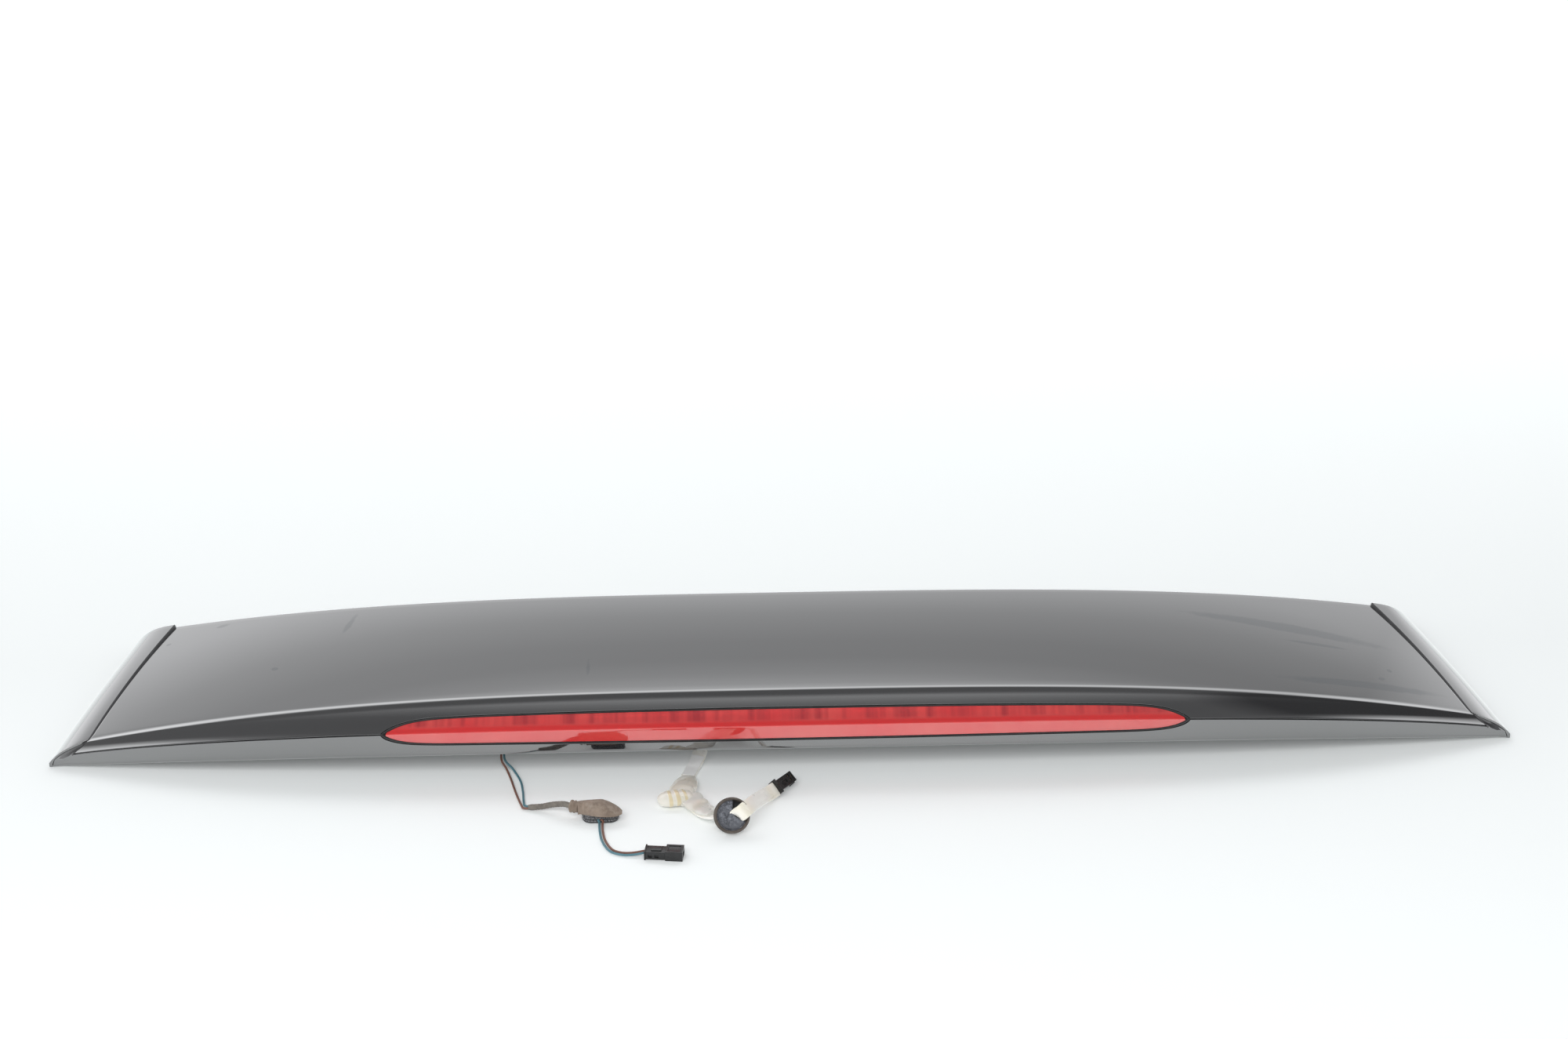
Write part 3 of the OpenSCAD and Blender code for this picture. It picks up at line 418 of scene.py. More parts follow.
def block(centre: Sequence[float], size: Sequence[float], corner: float, rows: int = 1,
          turn: Matrix | None = None, taper: float = 0.0) -> Patch:
    """Moulded block with rounded upright edges and rounded rims.

    Its rings are rounded rectangles, drawn in at both ends along a quarter circle.

    Args:
        centre: Middle of its base, in millimetres.
        size: Length, width and height.
        corner: Radius of its edges.
        rows: Rings on the straight stretch.
        turn: Rotation applied before it is placed.
        taper: Share by which the top is narrower.

    Returns:
        The closed patch.
    """
    length, width, height = size
    quarter = np.linspace(0, math.pi / 2, 4)
    corners = [(1, 1, 0.0), (-1, 1, 0.5), (-1, -1, 1.0), (1, -1, 1.5)]
    outline = np.concatenate([
        np.stack([sx * (length / 2 - corner) + corner * np.cos(quarter + k * math.pi),
                  sy * (width / 2 - corner) + corner * np.sin(quarter + k * math.pi)], axis=1)
        for sx, sy, k in corners])
    pull = corner * (1 - np.sin(quarter[:-1]))
    rise = corner * (1 - np.cos(quarter[:-1]))
    draws = np.concatenate([pull, np.zeros(rows + 1), pull[::-1]])
    heights = np.concatenate([rise, np.linspace(corner, height - corner, rows + 1), height - rise[::-1]])
    scale = 1 - taper * heights / height
    share = np.stack([1 - 2 * draws / length, 1 - 2 * draws / width], axis=1) * scale[:, None]
    flat = outline[None] * share[:, None]
    rings = np.concatenate([flat, np.broadcast_to(heights[:, None, None], flat.shape[:2] + (1,))], -1)
    if turn is not None:
        rings = rings @ np.array(turn.to_3x3()).T
    return Patch.of_rings(rings + np.asarray(centre, float))


# ---------------------------------------------------------------------------------------
# Finishes
# ---------------------------------------------------------------------------------------

class Tree:
    """A material's node tree while it is put together."""

    def __init__(self, name: str) -> None:
        """Starts an empty material of that name with an output node."""
        self.material = bpy.data.materials.new(name)
        self.material.use_nodes = True
        self.nodes = self.material.node_tree.nodes
        self.nodes.clear()
        self.output = self.node("ShaderNodeOutputMaterial")

    def node(self, kind: str, inputs: dict[Any, Any] | None = None, **settings: Any) -> bpy.types.Node:
        """Adds a node.

        Args:
            kind: Blender's name for it.
            inputs: Values or sockets by the input's name or number.
            settings: Its own properties.

        Returns:
            The node.
        """
        made = self.nodes.new(kind)
        for key, value in settings.items():
            setattr(made, key, value)
        for key, value in (inputs or {}).items():
            socket = made.inputs[key]
            if isinstance(value, bpy.types.NodeSocket):
                self.material.node_tree.links.new(value, socket)
            else:
                socket.default_value = value
        return made

    def place(self, from_map: bool = False) -> bpy.types.NodeSocket:
        """Object coordinates, or the piece's own map."""
        return self.node("ShaderNodeTexCoord").outputs["UV" if from_map else "Object"]

    def noise(self, where: Any, scale: float, detail: float = 3.0, roughness: float = 0.55,
              distortion: float = 0.0) -> bpy.types.NodeSocket:
        """Noise of so many cells per metre."""
        return self.node("ShaderNodeTexNoise", {
            "Vector": where, "Scale": scale, "Detail": detail, "Roughness": roughness,
            "Distortion": distortion}).outputs[0]

    def span(self, value: Any, low: float, high: float, to_low: float, to_high: float,
             smooth: bool = False) -> bpy.types.NodeSocket:
        """Maps low to high onto to_low to to_high, held at both ends."""
        kind = "SMOOTHSTEP" if smooth else "LINEAR"
        return self.node("ShaderNodeMapRange", {
            "Value": value, "From Min": low, "From Max": high, "To Min": to_low,
            "To Max": to_high}, interpolation_type=kind).outputs[0]

    def sum(self, kind: str, a: Any, b: Any, held: bool = False) -> bpy.types.NodeSocket:
        """One step of arithmetic, such as MULTIPLY or MAXIMUM."""
        return self.node("ShaderNodeMath", {0: a, 1: b}, operation=kind, use_clamp=held).outputs[0]

    def blend(self, share: Any, a: Any, b: Any) -> bpy.types.NodeSocket:
        """Mix of two colours."""
        a, b = ((*c, 1.0) if isinstance(c, tuple) and len(c) == 3 else c for c in (a, b))
        return self.node("ShaderNodeMix", {0: share, 6: a, 7: b}, data_type="RGBA").outputs[2]

    def bump(self, height: Any, distance: float, strength: float = 1.0,
             normal: Any = None) -> bpy.types.NodeSocket:
        """Surface relief of a depth in metres."""
        inputs = {"Height": height, "Distance": distance, "Strength": strength}
        if normal is not None:
            inputs["Normal"] = normal
        return self.node("ShaderNodeBump", inputs).outputs[0]

    def finish(self, inputs: dict[str, Any]) -> bpy.types.Material:
        """Ends the tree in one Principled shader."""
        shader = self.node("ShaderNodeBsdfPrincipled", inputs)
        self.material.node_tree.links.new(shader.outputs[0], self.output.inputs["Surface"])
        return self.material

    def spot(self, where: Any, centre: Sequence[float], reach: Sequence[float],
             turn: float = 0.0) -> bpy.types.NodeSocket:
        """Soft round mark: 1 at its centre and 0 from its reach on, both in millimetres."""
        placed = self.node("ShaderNodeMapping", {
            "Vector": where, "Location": [c * MM for c in centre],
            "Rotation": (0.0, 0.0, math.radians(turn)), "Scale": [r * MM for r in reach]},
            vector_type="TEXTURE").outputs[0]
        return self.node("ShaderNodeTexGradient", {"Vector": placed},
                         gradient_type="SPHERICAL").outputs[1]


@dataclass(frozen=True)
class Moulded:
    """Plastic, rubber, foam or metal: two mottled tones, a grain, and dust on what faces up."""

    name: str
    tone: Colour
    second: Colour
    rough: tuple[float, float] = (0.4, 0.55)
    mottle: float = 90.0
    grain: float = 1500.0
    relief: float = 0.00006
    metal: float = 0.0
    dust: float = 0.0
    dust_tone: Colour = (0.42, 0.40, 0.37)
    sheen: float = 0.0
    let_through: float = 0.0
    coat: float = 0.0

    def build(self) -> bpy.types.Material:
        """Makes the material: mottling by noise, roughness and relief by a finer grain."""
        tree = Tree(self.name)
        where = tree.place()
        patches = tree.noise(where, self.mottle, 4.0)
        grain = tree.noise(where, self.grain, 2.0)
        colour = tree.blend(tree.span(patches, 0.35, 0.65, 0.0, 1.0), self.tone, self.second)
        rough = tree.span(tree.sum("ADD", tree.sum("MULTIPLY", patches, 0.6),
                                   tree.sum("MULTIPLY", grain, 0.4)), 0.35, 0.65, *self.rough)
        if self.dust:
            up = tree.node("ShaderNodeSeparateXYZ", {
                0: tree.node("ShaderNodeNewGeometry").outputs["Normal"]}).outputs[2]
            lying = tree.sum("MULTIPLY", tree.span(up, 0.1, 0.9, 0.15, 1.0),
                             tree.span(tree.noise(where, self.mottle * 3.2, 5.0, 0.7), 0.42, 0.68, 0.0, 1.0))
            colour = tree.blend(tree.sum("MULTIPLY", lying, self.dust), colour, self.dust_tone)
        inputs = {
            "Base Color": colour, "Roughness": rough, "Metallic": self.metal,
            "Normal": tree.bump(grain, self.relief, 0.6)}
        if self.sheen:
            inputs["Sheen Weight"] = self.sheen
        if self.let_through:
            inputs["Transmission Weight"] = self.let_through
        if self.coat:
            inputs["Coat Weight"] = self.coat
            inputs["Coat Roughness"] = 0.15
        return tree.finish(inputs)


class Wear(Enum):
    """Wiped films on the lacquer: middle and reach in millimetres, turn in degrees, strength."""

    STREAK_LEFT = ((-374.0, 62.0, 52.0), (5.0, 38.0, 20.0), -8.0, 0.8)
    SPOT_LEFT = ((-494.0, 108.0, 34.0), (11.0, 7.0, 14.0), 10.0, 0.8)
    STREAK_MIDDLE = ((-161.0, -67.0, 67.0), (3.0, 30.0, 14.0), 1.0, 0.7)
    FILM_LONG = ((440.0, 34.0, 44.0), (140.0, 15.0, 40.0), -10.0, 1.0)
    FILM_SHORT = ((460.0, 3.0, 43.0), (42.0, 5.0, 30.0), -3.0, 1.0)
    FILM_REAR = ((480.0, -70.0, 38.0), (110.0, 11.0, 40.0), 4.0, 1.0)
    SPECK_ONE = ((-426.0, -18.0, 48.0), (3.5, 5.0, 6.0), 30.0, 1.6)
    SPECK_TWO = ((-538.0, 87.0, 26.0), (3.5, 4.0, 6.0), 0.0, 1.6)
    SPECK_THREE = ((501.0, -52.0, 35.0), (3.5, 5.0, 6.0), -40.0, 1.6)
    SPECK_FOUR = ((513.0, -32.0, 33.0), (3.0, 4.5, 6.0), 0.0, 1.6)


@dataclass(frozen=True)
class Lacquer:
    """Gloss black lacquer: deep base, clear hard coat, faint ripple and a few dry wiped films."""

    name: str = "gloss_black_lacquer"
    base: Colour = (0.012, 0.012, 0.0135)
    film: Colour = (0.030, 0.036, 0.042)
    coat_index: float = 2.5

    def build(self) -> bpy.types.Material:
        """Makes the material: the films dull the coat where they lie, fine noise ripples it."""
        tree = Tree(self.name)
        where = tree.place()
        cloud = tree.noise(where, 9.0, 5.0, 0.6, 0.6)
        ragged = tree.noise(where, 46.0, 6.0, 0.68)
        marks: Any = 0.0
        for mark in Wear:
            centre, reach, turn, strength = mark.value
            spot = tree.sum("MULTIPLY", tree.spot(where, centre, reach, turn), strength)
            marks = tree.sum("MAXIMUM", marks, spot)
        edge = tree.sum("ADD", marks, tree.span(ragged, 0.3, 0.7, -0.12, 0.12))
        dull = tree.span(edge, 0.22, 0.55, 0.0, 1.0, True)
        dust = tree.span(tree.noise(where, 520.0, 1.0), 0.77, 0.81, 0.0, 0.7)
        colour = tree.blend(tree.sum("MAXIMUM", dull, dust), self.base, self.film)
        rough = tree.sum("ADD", tree.span(cloud, 0.3, 0.75, 0.05, 0.09), tree.sum("MULTIPLY", dull, 0.05))
        ripple = tree.bump(tree.noise(where, 240.0, 1.0), 0.000003, 0.4)
        return tree.finish({
            "Base Color": colour, "Roughness": rough, "IOR": 1.6, "Specular IOR Level": 0.5,
            "Coat Weight": tree.span(dull, 0.0, 1.0, 1.0, 0.68),
            "Coat Roughness": tree.span(edge, 0.1, 0.6, 0.035, 0.07), "Coat IOR": self.coat_index,
            "Normal": ripple, "Coat Normal": ripple})


@dataclass(frozen=True)
class ClearRed:
    """Clear red lens plastic, polished and faintly mottled."""

    name: str = "clear_red_lens"
    tone: Colour = (0.97, 0.045, 0.05)
    second: Colour = (1.0, 0.10, 0.09)
    # deep is painted shade of the lamp cells seen through the lens; clear is a painted highlight line along the
    # crease.
    deep: Colour = (0.60, 0.024, 0.036)
    clear: Colour = (1.0, 0.008, 0.012)
    cell_wave: float = math.pi / 0.0204

    def build(self) -> bpy.types.Material:
        """Makes the material: two reds let light through, a hard coat reflects.

        Above the crease, whose height falls with the fourth power of x, upright patches are
        painted deeper red where a lamp cell lies behind, as painted shade of the cells seen
        through the lens, and a purer red line is painted along the crease as a painted
        highlight for the light caught there.

        Returns:
            The material.
        """
        tree = Tree(self.name)
        where = tree.place()
        cloud = tree.noise(where, 22.0, 3.0)
        haze = tree.noise(where, 300.0, 4.0, 0.7)
        colour = tree.blend(tree.span(cloud, 0.35, 0.7, 0.0, 1.0), self.tone, self.second)
        axes = tree.node("ShaderNodeSeparateXYZ", {0: where})
        fall = tree.sum("POWER", tree.sum("DIVIDE", tree.sum("ABSOLUTE", axes.outputs[0], 0.0), 0.322), 4.0)
        over = tree.sum("SUBTRACT", axes.outputs[2], tree.sum("SUBTRACT", 0.0455, tree.sum(
            "MULTIPLY", fall, 0.0035)))
        upright = tree.node("ShaderNodeMapping", {
            "Vector": where, "Scale": (130.0, 1.0, 9.0)}).outputs[0]
        # Painted shade: upright patches of deeper red where the lamp cells lie behind the lens.
        patches = tree.span(tree.noise(upright, 1.0, 2.0, 0.5), 0.38, 0.66, 0.0, 1.0)
        cells = tree.span(tree.sum("ABSOLUTE", tree.sum("SINE", tree.sum(
            "MULTIPLY", axes.outputs[0], self.cell_wave), 0.0), 0.0), 0.15, 0.8, 0.55, 1.0)
        above = tree.span(over, 0.0016, 0.0034, 0.0, 1.0)
        colour = tree.blend(tree.sum("MULTIPLY", above, tree.sum("MULTIPLY", patches, cells)),
                            colour, self.deep)
        # Painted highlight: a line of purer red along the crease, where light is caught.
        line = tree.sum("MULTIPLY", tree.span(over, -0.0002, 0.0004, 0.0, 1.0),
                        tree.span(over, 0.0014, 0.0026, 1.0, 0.0))
        colour = tree.blend(tree.sum("MULTIPLY", line, 0.85), colour, self.clear)
        rough = tree.span(haze, 0.4, 0.75, 0.04, 0.12)
        return tree.finish({
            "Base Color": colour, "Roughness": rough, "IOR": 1.49, "Transmission Weight": 0.40,
            "Coat Weight": 1.0, "Coat Roughness": 0.03, "Coat IOR": 1.9,
            "Subsurface Weight": 0.0})


@dataclass(frozen=True)
class Insulation:
    """Thin wire insulation: its colour and paler scuffs, along the lead."""

    name: str
    tone: Colour
    scuff: Colour

    def build(self) -> bpy.types.Material:
        """Makes the material: noise stretched along the lead's own map."""
        tree = Tree(self.name)
        along = tree.node("ShaderNodeMapping", {
            "Vector": tree.place(from_map=True), "Scale": (900.0, 120.0, 1.0)}).outputs[0]
        rubbed = tree.noise(along, 1.0, 4.0, 0.65)
        colour = tree.blend(tree.span(rubbed, 0.5, 0.72, 0.0, 0.7), self.tone, self.scuff)
        return tree.finish({
            "Base Color": colour, "Roughness": tree.span(rubbed, 0.3, 0.7, 0.32, 0.6),
            "Normal": tree.bump(rubbed, 0.00004, 0.5)})


@dataclass(frozen=True)
class Film:
    """Translucent film over a flat screen: pale, glossy, with lengthwise ribs and yellowed places."""

    name: str
    tone: Colour
    yellow: Colour
    ribs: float = 420.0
    aged: tuple[float, float] = (0.45, 0.7)
    through: float = 0.25

    def build(self) -> bpy.types.Material:
        """Makes the material: waves across the lead's map, yellowing by noise."""
        tree = Tree(self.name)
        where = tree.place()
        skin = tree.place(from_map=True)
        wave = tree.node("ShaderNodeTexWave", {
            "Vector": skin, "Scale": self.ribs, "Distortion": 0.6, "Detail": 1.0},
            bands_direction="X").outputs[1]
        age = tree.noise(where, 38.0, 2.0, 0.5)
        crease = tree.noise(where, 90.0, 1.0, 0.4, 0.5)
        colour = tree.blend(tree.span(age, *self.aged, 0.0, 1.0), self.tone, self.yellow)
        relief = tree.bump(tree.sum("ADD", tree.sum("MULTIPLY", wave, 0.25), crease), 0.00012, 0.5)
        return tree.finish({
            "Base Color": colour, "Roughness": tree.span(crease, 0.3, 0.7, 0.24, 0.42),
            "IOR": 1.5, "Transmission Weight": self.through, "Normal": relief,
            "Coat Weight": 0.6, "Coat Roughness": 0.12})


@dataclass(frozen=True)
class Mirror:
    """Metallised plastic: bright, with faint streaks."""

    name: str = "metallised_plastic"

    def build(self) -> bpy.types.Material:
        """Makes the material: noise varies tone and roughness a little."""
        tree = Tree(self.name)
        cloud = tree.noise(tree.place(), 200.0, 3.0)
        return tree.finish({
            "Base Color": tree.blend(cloud, (0.82, 0.82, 0.84), (0.93, 0.92, 0.91)),
            "Metallic": 1.0, "Roughness": tree.span(cloud, 0.3, 0.7, 0.06, 0.16)})


class Finishes:
    """All finishes of the object, built once."""

    def __init__(self) -> None:
        """Builds every material."""
        self.lacquer = Lacquer().build()
        # Dark matt finish for the step line's riser faces: painted shade that darkens the step line.
        self.seam = Moulded("painted_step_shade", (0.018, 0.018, 0.02), (0.03, 0.03, 0.032),
                            (0.4, 0.6), 60.0, 2600.0, 0.00004).build()
        self.lens = ClearRed().build()
        self.mirror = Mirror().build()
        self.moulding = Moulded("bare_moulding", (0.022, 0.022, 0.024), (0.034, 0.034, 0.036),
                                (0.45, 0.62), 40.0, 2600.0, 0.00010, dust=0.15).build()
        self.rubber = Moulded("black_rubber", (0.016, 0.016, 0.017), (0.03, 0.03, 0.03),
                              (0.3, 0.5), 120.0, 2200.0, 0.00005, sheen=0.1).build()
        self.foam = Moulded("foam", (0.03, 0.03, 0.032), (0.06, 0.06, 0.06),
                            (0.8, 0.95), 300.0, 2200.0, 0.0003, sheen=0.3).build()
        self.steel = Moulded("zinc_plated_steel", (0.62, 0.61, 0.58), (0.5, 0.5, 0.5),
                             (0.22, 0.4), 300.0, 3000.0, 0.00002, metal=1.0).build()
        self.white = Moulded("white_plastic", (0.78, 0.78, 0.75), (0.7, 0.7, 0.67),
                             (0.35, 0.5), 150.0, 1800.0, 0.00004).build()
        self.black = Moulded("black_plastic", (0.006, 0.006, 0.0065), (0.014, 0.014, 0.015),
                             (0.22, 0.4), 260.0, 2600.0, 0.00005, dust=0.06).build()
        self.plug_rubber = Moulded("plug_rubber", (0.014, 0.014, 0.015), (0.035, 0.035, 0.036),
                                   (0.3, 0.55), 260.0, 2600.0, 0.00006, dust=1.0,
                                   dust_tone=(0.62, 0.62, 0.65)).build()
        self.board = Moulded("board_green", (0.015, 0.14, 0.055), (0.03, 0.2, 0.08),
                             (0.3, 0.4), 300.0, 2600.0, 0.00003, coat=0.5).build()
        self.light = Moulded("clear_epoxy", (0.85, 0.8, 0.7), (0.9, 0.86, 0.78),
                             (0.1, 0.2), 300.0, 2600.0, 0.00002).build()
        self.blue = Insulation("blue_insulation", (0.085, 0.20, 0.245), (0.20, 0.34, 0.38)).build()
        self.brown = Insulation("brown_insulation", (0.20, 0.095, 0.07), (0.33, 0.21, 0.17)).build()
        self.sleeve = Moulded("sleeve_rubber", (0.13, 0.115, 0.10), (0.2, 0.18, 0.155),
                              (0.55, 0.75), 240.0, 2000.0, 0.00012, dust=0.4,
                              dust_tone=(0.36, 0.33, 0.3)).build()
        self.hood = Moulded("hood_rubber", (0.20, 0.15, 0.115), (0.3, 0.235, 0.185),
                            (0.5, 0.72), 110.0, 1800.0, 0.00012, dust=0.5,
                            dust_tone=(0.45, 0.39, 0.33)).build()
        self.disc = Moulded("disc_rubber", (0.05, 0.053, 0.062), (0.10, 0.105, 0.12),
                            (0.45, 0.7), 130.0, 1800.0, 0.0001, dust=0.9,
                            dust_tone=(0.36, 0.38, 0.43)).build()
        self.rim = Moulded("rim_rubber", (0.07, 0.058, 0.05), (0.125, 0.105, 0.09),
                           (0.5, 0.72), 150.0, 1800.0, 0.0001, dust=0.35,
                           dust_tone=(0.26, 0.23, 0.2)).build()
        self.film = Film("lead_film", (1.0, 0.985, 0.93), (0.95, 0.90, 0.75), through=0.03).build()
        self.wrap = Film("wrap_film", (0.95, 0.92, 0.83), (0.88, 0.81, 0.64), 160.0, (0.5, 0.75), 0.14).build()
        self.tape = Film("aged_tape", (0.78, 0.68, 0.46), (0.70, 0.59, 0.38), 300.0, (0.45, 0.75), 0.0).build()
        self.loose = Film("loose_film", (0.95, 0.94, 0.89), (0.90, 0.86, 0.72), 120.0, (0.55, 0.8), 0.30).build()
        self.label = Moulded("label_tape", (0.97, 0.97, 0.965), (0.94, 0.94, 0.93),
                             (0.35, 0.5), 120.0, 1500.0, 0.00003).build()
        self.contact = Moulded("contact_metal", (0.8, 0.66, 0.4), (0.7, 0.6, 0.42),
                               (0.2, 0.35), 400.0, 2600.0, 0.00002, metal=1.0).build()

    def dress_nodes(self) -> None:
        """Gives every CAD node that stays in view the finish of its slot."""
        by_slot = {
            "body_paint": self.lacquer, "black_rubber": self.rubber, "foam": self.foam,
            "steel": self.steel, "white_plastic": self.white, "red_lens": self.lens,
            "black_plastic": self.black, "mirror_plastic": self.mirror, "board_green": self.board,
            "led_body": self.light, "blue_insulation": self.blue, "brown_insulation": self.brown,
            "sleeve_rubber": self.sleeve, "hood_rubber": self.hood, "lead_film": self.film,
            "label_paper": self.label, "wrap_film": self.wrap, "contact_metal": self.contact}
        for node in frame["nodes"].values():
            for holder in node.material_slots:
                base = holder.material.name.split(".")[0]
                holder.material = by_slot.get(base, self.black)


# ---------------------------------------------------------------------------------------
# The moulding's form
# ---------------------------------------------------------------------------------------

@dataclass(frozen=True)
class Form:
    """Outer faces of the moulding as functions of a station t and a share v, b, s or g.

    |t| is 0 at the middle, 1 at the step line and 2 at the outer edge.
    """

    half_width: float = 600.0
    tip_to_front: float = 230.0
    rear_bow: float = 42.0
    front_bow: float = 44.0
    ridge: tuple[float, float] = (67.0, 21.0)
    front: tuple[float, float] = (62.5, 19.5)
    crease_height: tuple[float, float] = (45.5, 12.5)
    edge_height: float = 24.5
    camber: float = 4.0
    ridge_setback: float = 18.0
    ridge_end_lead: float = 7.0
    crease_setback: float = 1.0
    crease_end_shift: float = 2.4
    ridge_x: float = 568.0
    crease_x: float = 580.0
    edge_x: float = 586.0
    step_x: float = 542.0
    corner_x: float = 572.0
    corner_height: float = 11.0
    tip_height: float = 4.0
    rim_height: float = 5.5
    step_height: float = 2.5
    step_groove: float = 0.7
    hollow: tuple[tuple[float, ...], tuple[float, ...]] = ((0.5, 0.15, 0.7), (0.5, 0.40, 0.55))
    side_bow: float = 2.0
    flank_lip: float = 3.0
    flange_drop: float = 26.0
    lip_width: float = 11.0
    recess_run: float = 9.0
    recess_share: float = 0.2
    parting_gap: float = 1.4
    upper_wall: float = 2.8
    lower_wall: float = 2.5
    bond_gap: float = 0.3
    lens_half: float = 322.0
    lens_up: float = 15.0
    lens_down: float = 10.8
    lens_run: float = 13.0
    lens_belly: float = 0.16
    aperture_grow: float = 1.9

    @property
    def tip_y(self) -> float:
        """Y of the line through the two rear tips."""
        return -(self.tip_to_front - self.rear_bow) / 2

    @property
    def rear_y(self) -> float:
        """Y of the lower rear edge at the middle."""
        return self.tip_y - self.rear_bow

    @property
    def front_end_y(self) -> float:
        """Y of the ends of the front edge."""
        return self.tip_y + self.tip_to_front

    @property
    def step_run(self) -> float:
        """Run of the step line's riser, as a share of t."""
        return 1.4 / self.step_x

    @staticmethod
    def stack(x: Array, y: Array, z: Array) -> Array:
        """Points from three arrays that fit each other."""
        return np.stack(np.broadcast_arrays(x, y, z), axis=-1)

    @staticmethod
    def parts(t: Array) -> tuple[Array, Array, Array]:
        """Side of t, its share on the skin and its share on the flank."""
        return np.where(t < 0, -1.0, 1.0), np.minimum(np.abs(t), 1.0), np.maximum(np.abs(t) - 1, 0.0)

    @staticmethod
    def arch(t: Array, ends: tuple[float, Any], power: float) -> Array:
        """Middle value falling to the end value with a power of t."""
        return mix(ends[0], ends[1], np.minimum(np.abs(t), 1.0) ** power)

    def skin(self, t: Array, v: Array) -> Array:
        """Top skin and flanks, v from the front edge to the ridge.

        Across the car the plan runs between the front arch and the ridge arch, the height
        is the mix of both arches plus a camber of 4 v (1 - v), and the flank drops to its
        outer edge with 0.42 w + 0.58 w cubed.
        """
        t, v = np.broadcast_arrays(np.asarray(t, float), np.asarray(v, float))
        side, s, w = self.parts(t)
        bow = self.side_bow * 4 * v * (1 - v)
        x = side * (mix(mix(self.step_x, self.ridge_x, v) * s,
                        mix(self.corner_x, self.half_width, v), w) + bow * s)
        y = mix(self.arch(t, (self.front_end_y - self.front_bow, self.front_end_y), 3),
                self.arch(t, (self.rear_y + self.ridge_setback,
                              self.tip_y + self.ridge_end_lead * (1 - w) ** 4), 3), v)
        top = (mix(self.arch(t, self.front, 3), self.arch(t, self.ridge, 3), v)
               + self.camber * 4 * v * (1 - v) * (1 - 0.5 * s * s))
        riser = self.step_height * (1 - v) * ease((np.abs(t) - 1 + self.step_run) / self.step_run)
        roll = 0.42 * w + 0.58 * w ** 3
        foot = (np.abs(t) - 1 + self.step_run) / self.step_run
        line = self.step_groove * np.exp(-(foot / 0.35) ** 2) * (v < 0.985)
        high = top + riser - line
        return self.stack(x, y, high - (high - mix(self.corner_height, self.tip_height, v)) * roll)

    def edge(self, t: Array) -> Array:
        """Lower rear edge: bows back and up from the tips with a cube of x."""
        side, s, w = self.parts(t)
        x = side * mix(self.edge_x * s, self.half_width, w)
        drop = 1 - (np.abs(x) / self.half_width) ** 3
        return self.stack(x, self.tip_y - self.rear_bow * drop, self.edge_height * drop)

    def crease(self, t: Array) -> Array:
        """Crease where the hollow band meets the fascia."""
        side, s, w = self.parts(t)
        return self.stack(
            side * mix(self.crease_x * s, self.half_width, w),
            mix(self.arch(t, (self.rear_y + self.crease_setback, self.tip_y), 3.8)
                - self.crease_end_shift * s ** 20, self.tip_y - 0.5, w),
            mix(self.arch(t, self.crease_height, 3.8), 1.5, w))

    def band(self, t: Array, b: Array) -> Array:
        """Hollow band: quadratic curve from the ridge to the crease, drawn inwards."""
        t, b = np.broadcast_arrays(np.asarray(t, float), np.asarray(b, float))
        r, c, b = self.skin(t, np.ones_like(t)), self.crease(t), b[..., None]
        s = np.minimum(np.abs(t), 1.0)[..., None] ** 3
        pull = mix(r, c, mix(np.array(self.hollow[0]), np.array(self.hollow[1]), s))
        return (1 - b) ** 2 * r + 2 * b * (1 - b) * pull + b * b * c

    def band_length(self, t: Array) -> Array:
        """Length of the band's section."""
        return 1.06 * np.linalg.norm(self.skin(t, np.ones_like(t)) - self.crease(t), axis=-1)

    def fascia(self, t: Array, s: Array) -> Array:
        """Fascia below the crease, straight in section."""
        return mix(self.crease(t), self.edge(t), np.asarray(s)[..., None])

    def fascia_length(self, t: Array) -> Array:
        """Height of the fascia along its face."""
        return np.linalg.norm(self.crease(t) - self.edge(t), axis=-1)

    def outline(self, x: Array, height: float, grow: float) -> Array:
        """Half height of the lamp's outline at x: opens from its point with 1 - exp(-d / run)."""
        reach = self.lens_half + 1.6 * grow
        d = np.maximum(reach - np.abs(x), 0)
        r = np.minimum(np.abs(x) / reach, 1)
        return (height * (1 - np.exp(-d / self.lens_run)) * (1 - self.lens_belly * r * r)
                + grow * (1 - np.exp(-d / 2)))

    def flange_bottom(self, t: Array) -> Array:
        """Height of the lower rim along the front."""
        w = np.maximum(np.abs(t) - 1, 0)
        return self.arch(t, (self.front[0] - self.flange_drop, self.rim_height), 3) + 0.8 * w

    def lip_end(self, t: Array) -> Array:
        """End of the flank's rear lip: short along the fascia, full height at the tip."""
        w = np.maximum(np.abs(t) - 1, 0)[..., None]
        r = self.skin(t, np.ones_like(t))
        short = r + unit(self.crease(t) - r) * self.flank_lip
        full = self.edge(t) + np.array([0, 0, 0.2])
        return mix(short, full, ease((w - 0.82) / 0.06))

    def rear_face(self, t: Array, b: Array) -> Array:
        """Hollow band, which turns into the flank's short lip across the step line."""
        t, b = np.broadcast_arrays(np.asarray(t, float), np.asarray(b, float))
        k = ease((np.abs(t) - 1 + self.step_run) / self.step_run)[..., None]
        lip = mix(self.skin(t, np.ones_like(t)), self.lip_end(t), b[..., None])
        return mix(self.band(t, b), lip, k)

    def rear_face_end(self, t: Array) -> Array:
        """Share of the band where the upper shell ends: at the groove or round the lamp."""
        k = ease((np.abs(t) - 1 + self.step_run) / self.step_run)
        high = self.outline(t * self.crease_x, self.lens_up, self.aperture_grow)
        high = np.where(np.abs(t) * self.crease_x > self.lens_half + 1.6 * self.aperture_grow, 0, high)
        return mix(1 - np.maximum(self.parting_gap / 2, high) / self.band_length(t), 1.0, k)

